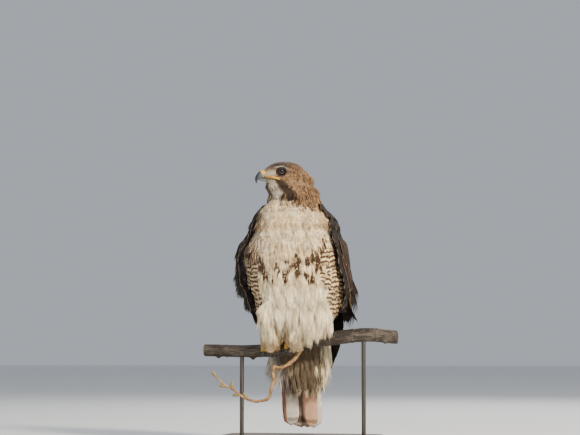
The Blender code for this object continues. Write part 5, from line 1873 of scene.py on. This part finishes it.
def make_bill(materials):
    last = len(UPPER_BILL_SPINE) - 1
    upper = bill_tube("bill_horn_upper", UPPER_BILL_SPINE, CERE_ROWS - 0.15, last, 40)
    cere = bill_tube("cere_skin", UPPER_BILL_SPINE, 0.0, CERE_ROWS, 20)
    swell_cere(cere)
    lower = bill_tube("bill_horn_lower", LOWER_BILL_SPINE, 0.0, len(LOWER_BILL_SPINE) - 1, 24)
    for piece, node, finish, slot in ((upper, "bill_upper", "horn", "horn"),
                                      (cere, "cere", "cere", "yellow_skin"),
                                      (lower, "bill_lower", "horn", "horn")):
        finish_piece(piece, materials[finish], slot, node)


def swell_cere(cere):
    """The cere is a little fuller than the horn, and dips at the nostrils."""
    spots = [head_point(NOSTRIL_PLACE[0], sign * NOSTRIL_PLACE[1], NOSTRIL_PLACE[2])
             for sign in (1, -1)]
    moves = []
    for vert in cere.data.vertices:
        move = 0.00035
        for spot in spots:
            near = (vert.co - spot).length
            move -= 0.0016 * (1.0 - ease(0.0006, 0.0017, near))
        moves.append(vert.normal * move)
    for vert, move in zip(cere.data.vertices, moves):
        vert.co += move


def finish_piece(piece, material, slot, *nodes):
    piece.data.materials.clear()
    piece.data.materials.append(material)
    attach(piece, "root")
    if nodes:
        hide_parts(*nodes)


def make_eye(side, sign):
    """The eyeball with its bulging cornea."""
    shape = bmesh.new()
    bmesh.ops.create_uvsphere(shape, u_segments=48, v_segments=32, radius=EYE_RADIUS)
    for vert in shape.verts:
        # The sphere's pole looks out of the head
        bulge = ease(0.8, 1.0, vert.co.z / EYE_RADIUS)
        vert.co.z += 0.0009 * bulge
    place = head_matrix @ Matrix.Translation((EYE_PLACE.x, sign * EYE_PLACE.y, EYE_PLACE.z))
    turn = Matrix.Rotation(-sign * math.pi / 2, 4, "X")
    bmesh.ops.transform(shape, matrix=place @ turn, verts=shape.verts)
    mesh = mesh_from("eyeball_" + side, shape)
    mesh.shade_smooth()
    eye = new_object("eyeball_" + side, mesh)
    pupil = head_point(EYE_PLACE.x, sign * (EYE_PLACE.y + EYE_RADIUS), EYE_PLACE.z)
    finish_piece(eye, eye_material("eye_" + side, pupil), "eye", "eye_" + side)


def make_lids(side, sign, material):
    """The lids' rim, a little lower above, where the brow hoods it."""
    rings = []
    for i in range(40):
        a = math.tau * i / 40
        hood = 0.74 if math.sin(a) > 0 else 0.94
        centre = EYE_PLACE + Vector((LID_RADIUS * math.cos(a) * 1.05,
                                     LID_OUT - 0.0009 * math.cos(2 * a),
                                     LID_RADIUS * math.sin(a) * hood))
        outward = Vector((math.cos(a), 0.0, math.sin(a)))
        ring = []
        for j in range(10):
            b = math.tau * j / 10
            thick = mix(0.001, 0.0019, ease(0.0, 0.7, math.sin(a)))
            point = centre + outward * math.cos(b) * thick * 1.5
            point.y += math.sin(b) * thick
            point.y *= sign
            ring.append(head_point(*point))
        rings.append(ring)
    lids = loft("lids_" + side, rings, capped=False)
    finish_piece(lids, material, "brown_plumage")


def make_gape(side, sign, material):
    """The two yellow lips of the mouth, with the dark line between them."""
    pieces = []
    for lift, size in ((0.0009, 0.0011), (-0.001, 0.001)):
        rows = [(f, sign * (s + 0.0004), u + lift) for f, s, u in GAPE_LINE]
        path = [head_point(*row) for row in smooth_path(rows, 18)]
        radii = [size * mix(0.5, 0.95, i / 17) * min(1.0, (18.5 - i) / 4) for i in range(18)]
        pieces.append(loft("lip", tube_rings(path, radii, 10)))
    gape = join("gape_" + side, pieces)
    finish_piece(gape, material, "yellow_skin")


def make_head(materials):
    make_bill(materials)
    for side, sign in SIDES:
        make_eye(side, sign)
        make_lids(side, sign, materials["lid"])
        make_gape(side, sign, materials["yellow_skin"])


# Feet and perch

def make_toe(name, path, radii, material):
    """A toe with raised scutes along its upper side."""
    steps = len(path)
    rings = tube_rings(path, radii, 14)
    obj = loft(name, rings)
    layer = obj.data.uv_layers.new(name="along")
    count = 14
    for loop in obj.data.loops:
        row, side = divmod(loop.vertex_index, count)
        layer.data[loop.index].uv = (side / count, row / (steps - 1))
    obj.data.materials.append(material)
    return obj


def make_foot(side, sign, materials):
    place = FOOT_PLACES[side]
    toes = []
    for name, start_side, end_side, start, end, claw in TOES:
        steps = 40
        path, radii = [], []
        for i in range(steps):
            t = i / (steps - 1)
            x = place - sign * mix(start_side, end_side, min(t * 1.4, 1.0))
            path.append(perch_point(x, math.radians(mix(start, end, t)), TOE_RADIUS * 0.94))
            knuckle = 0.07 * math.cos(3.0 * math.tau * t)
            radii.append(TOE_RADIUS * (1.04 - 0.2 * t + knuckle * 0.6))
        toes.append(make_toe("toe", path, radii, materials["toe"]))
        make_claw(f"talon_{side}_{name}", place, sign, end_side, end, claw, materials["claw"],
                  f"claw_{side}_{name}")
    pad = [perch_point(place, 0.0, 0.0062 + 0.005 * i) for i in range(6)]
    toes.append(make_toe("pad", pad, (0.0088, 0.0096, 0.0085, 0.007, 0.0064, 0.0062),
                         materials["toe"]))
    foot = join("toes_" + side, toes)
    finish_piece(foot, materials["toe"], "yellow_skin", "foot_" + side)


def make_claw(name, place, sign, end_side, end, length, material, node):
    """A long curved claw, hooked in under the perch."""
    path, radii = [], []
    steps = 20
    turn = math.copysign(1.0, end)
    for i in range(steps):
        t = i / (steps - 1)
        angle = math.radians(end - 6 * turn) + turn * t * length / 0.0185
        x = place - sign * (end_side + 0.0015 * t)
        stand = mix(TOE_RADIUS * 1.0, 0.0014, t ** 1.5) + 0.003 * math.sin(math.pi * t)
        path.append(perch_point(x, angle, stand))
        radii.append(mix(CLAW_RADIUS, 0.00025, t ** 1.2))
    claw = loft(name, tube_rings(path, radii, 16))
    finish_piece(claw, material, "horn", node)


def branch_radius(x, angle, radius):
    """The bark's own shape: lumps, ring scars, knots and the swelling below the feet."""
    spot = Vector((x * 40.0, math.cos(angle) * 0.6, math.sin(angle) * 0.6))
    swell = 0.05 * noise.noise(spot) + 0.03 * noise.noise(spot * 3.1)
    swell += 0.012 * noise.noise(Vector((x * 90.0, math.cos(angle) * 6, math.sin(angle) * 6)))
    for scar in BRANCH_RING_SCARS:
        swell += 0.07 * math.exp(-((x - scar) / 0.0016) ** 2)
        swell -= 0.03 * math.exp(-((x - scar - 0.003) / 0.0016) ** 2)
    swell += 0.4 * math.exp(-((x + 0.012) / 0.012) ** 2) * max(-math.cos(angle), 0.0) ** 4
    for place, degrees, size in BRANCH_KNOTS:
        away = math.hypot(x - place, radius * angle_gap(angle, math.radians(degrees)))
        swell += size / radius * math.exp(-(away / (0.7 * size + 0.001)) ** 2)
    return radius * (0.985 + swell)


def angle_gap(first, second):
    return (first - second + math.pi) % math.tau - math.pi


def make_branch(materials):
    first, last = BRANCH_AXIS[0][0], BRANCH_AXIS[-1][0]
    rings = []
    steps, sides = 300, 56
    for i in range(steps):
        x = mix(first, last, i / (steps - 1))
        y, z, radius = branch_track(x)
        ring = []
        for j in range(sides):
            angle = math.tau * j / sides
            reach = branch_radius(x, angle, radius)
            if i in (0, steps - 1):
                reach *= 0.93
            ring.append(Vector((x, y - reach * math.sin(angle), z + reach * math.cos(angle))))
        rings.append(ring)
    branch = loft("perch_bark", rings)
    for polygon in branch.data.polygons:
        polygon.material_index = 1 if abs(polygon.normal.x) > 0.95 else 0
    finish_piece(branch, materials["bark"], "bark", "perch_branch")
    branch.data.materials.append(materials["cut_wood"])


def make_twig(materials):
    """The twig with its leaf scars, and the pointed buds."""
    rows = smooth_path(TWIG_PATH, 150)
    rng = random.Random(SEED)
    nodes = [rng.uniform(0.02, 0.98) for _ in range(11)]
    radii = []
    for i, row in enumerate(rows):
        t = i / (len(rows) - 1)
        scars = sum(math.exp(-((t - place) / 0.006) ** 2) for place in nodes)
        radii.append(row[3] * (1.0 + 0.16 * scars + 0.05 * noise.noise(Vector((t * 60, 0, 0)))))
    twig = loft("twig_bark", tube_rings([row[:3] for row in rows], radii, 16))
    finish_piece(twig, materials["twig"], "twig_bark", "perch_twig")
    buds = []
    for index, direction in TWIG_BUDS:
        along = Vector(direction).normalized()
        foot = Vector(TWIG_PATH[index][:3]) - along * 0.0012
        steps = 22
        path = [foot + along * BUD_LENGTH * i / (steps - 1) for i in range(steps)]
        radii = []
        for i in range(steps):
            t = i / (steps - 1)
            scale_step = 1.0 - 0.1 * ((t * 4.0) % 1.0)
            bulge = max(math.sin(math.pi * (0.14 + 0.86 * t)) ** 0.8, 0.04)
            radii.append(BUD_RADIUS * scale_step * bulge)
        buds.append(loft("bud", tube_rings(path, radii, 14)))
    piece = join("twig_buds", buds)
    finish_piece(piece, materials["bud"], "twig_bark")


def dress_stand(nodes, materials):
    for name, finish in (("stand_base", "stand_wood"), ("stand_rod_left", "rod_metal"),
                         ("stand_rod_right", "rod_metal")):
        for slot in nodes[name].material_slots:
            slot.material = materials[finish]


# Studio

def make_floor():
    corners = [(x * FLOOR_REACH, y * FLOOR_REACH, 0.0) for x, y in FLOOR_CORNERS]
    floor = mesh_object("floor", corners, [(0, 1, 2, 3)], smooth=False)
    material, tree = start_material("pale_floor", roughness=0.9, specular=0.1)
    tree.nodes["Principled BSDF"].inputs["Base Color"].default_value = (0.8, 0.8, 0.8, 1.0)
    floor.data.materials.append(material)


def add_light(name, place, size, power, colour):
    light = bpy.data.lights.new(name, "AREA")
    light.shape = "DISK"
    light.size = size
    light.energy = power
    light.color = colour
    lamp = new_object(name, light)
    lamp.location = place
    lamp.rotation_euler = (CAMERA_AIM - Vector(place)).to_track_quat("-Z", "Y").to_euler()


def make_studio():
    world = bpy.data.worlds.new("studio")
    world.use_nodes = True
    background = world.node_tree.nodes["Background"]
    background.inputs["Color"].default_value = (0.84, 0.91, 1.0, 1.0)
    background.inputs["Strength"].default_value = 0.5
    bpy.context.scene.world = world
    add_light("key", (2.4, -2.1, 2.0), 0.6, 250.0, (1.0, 0.92, 0.78))
    add_light("fill", (-2.4, -1.8, 1.2), 2.2, 8.0, (0.86, 0.92, 1.0))
    add_light("back", (0.4, 2.6, 2.2), 1.4, 50.0, (1.0, 0.98, 0.95))


def make_camera():
    data = bpy.data.cameras.new("camera")
    data.lens = CAMERA_LENS
    data.sensor_width = 36.0
    camera = new_object("camera", data)
    direction = Vector((
        math.sin(CAMERA_TURN) * math.cos(CAMERA_RISE),
        -math.cos(CAMERA_TURN) * math.cos(CAMERA_RISE),
        math.sin(CAMERA_RISE),
    ))
    camera.location = CAMERA_AIM + direction * CAMERA_DISTANCE
    camera.rotation_euler = (-direction).to_track_quat("-Z", "Y").to_euler()
    bpy.context.scene.camera = camera


def make_materials():
    return {
        "plumage": plumage_material("plumage"),
        "down": down_material("down"),
        "yellow_skin": scale_skin_material("yellow_skin", YELLOW, (0.62, 0.36, 0.05)),
        "cere": scale_skin_material("cere_skin", YELLOW, (0.62, 0.36, 0.05),
                                    below=(0.27, 0.25, 0.17)),
        "toe": scale_skin_material("toe_skin", YELLOW, (0.5, 0.3, 0.05), rings=13.0),
        # Lid skin: dark in its own colour, and darker still as painted shade under the brow
        "lid": two_tone_material("lid_skin", (0.01, 0.007, 0.006), (0.028, 0.02, 0.015), 900.0,
                                 specular=0.15),
        "horn": horn_material("bill_horn", (0.15, 0.165, 0.185), (0.014, 0.014, 0.016), 0.046, 0.058),
        "claw": two_tone_material("claw_horn", (0.008, 0.008, 0.009), (0.03, 0.028, 0.027), 500.0,
                                  roughness=0.25, bump=0.00006, coat=0.3),
        "bark": bark_material("bark"),
        "cut_wood": two_tone_material("cut_wood", (0.32, 0.22, 0.13), (0.5, 0.37, 0.24), 180.0,
                                      roughness=0.8, bump=0.0004),
        "twig": two_tone_material("young_bark", (0.2, 0.1, 0.036), (0.46, 0.27, 0.105), 170.0,
                                  roughness=0.5, bump=0.0005),
        "bud": two_tone_material("bud_scales", (0.2, 0.15, 0.045), (0.36, 0.24, 0.085), 240.0,
                                 roughness=0.4, bump=0.0004),
        "stand_wood": wood_material("stand_wood"),
        "rod_metal": metal_material("rod_metal"),
    }


def main():
    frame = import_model()
    nodes = frame["nodes"]
    materials = make_materials()
    skin = make_skin(nodes)
    skin.data.materials.append(materials["down"])
    shapes = {kind: make_feather_shapes(kind) for kind in ("blade", "plume", "lock")}
    growing = (*coat_tree(shapes["blade"], materials["plumage"]), shapes)
    make_coat(skin, growing)
    for side, sign in SIDES:
        make_wing(side, sign, growing, materials["plumage"], materials["down"])
        make_foot(side, sign, materials)
    make_tail(growing, materials["down"])
    make_head(materials)
    make_branch(materials)
    make_twig(materials)
    dress_stand(nodes, materials)
    make_floor()
    make_studio()
    make_camera()
    for kind in shapes.values():
        for shape in list(kind.objects):
            bpy.data.objects.remove(shape, do_unlink=True)


main()
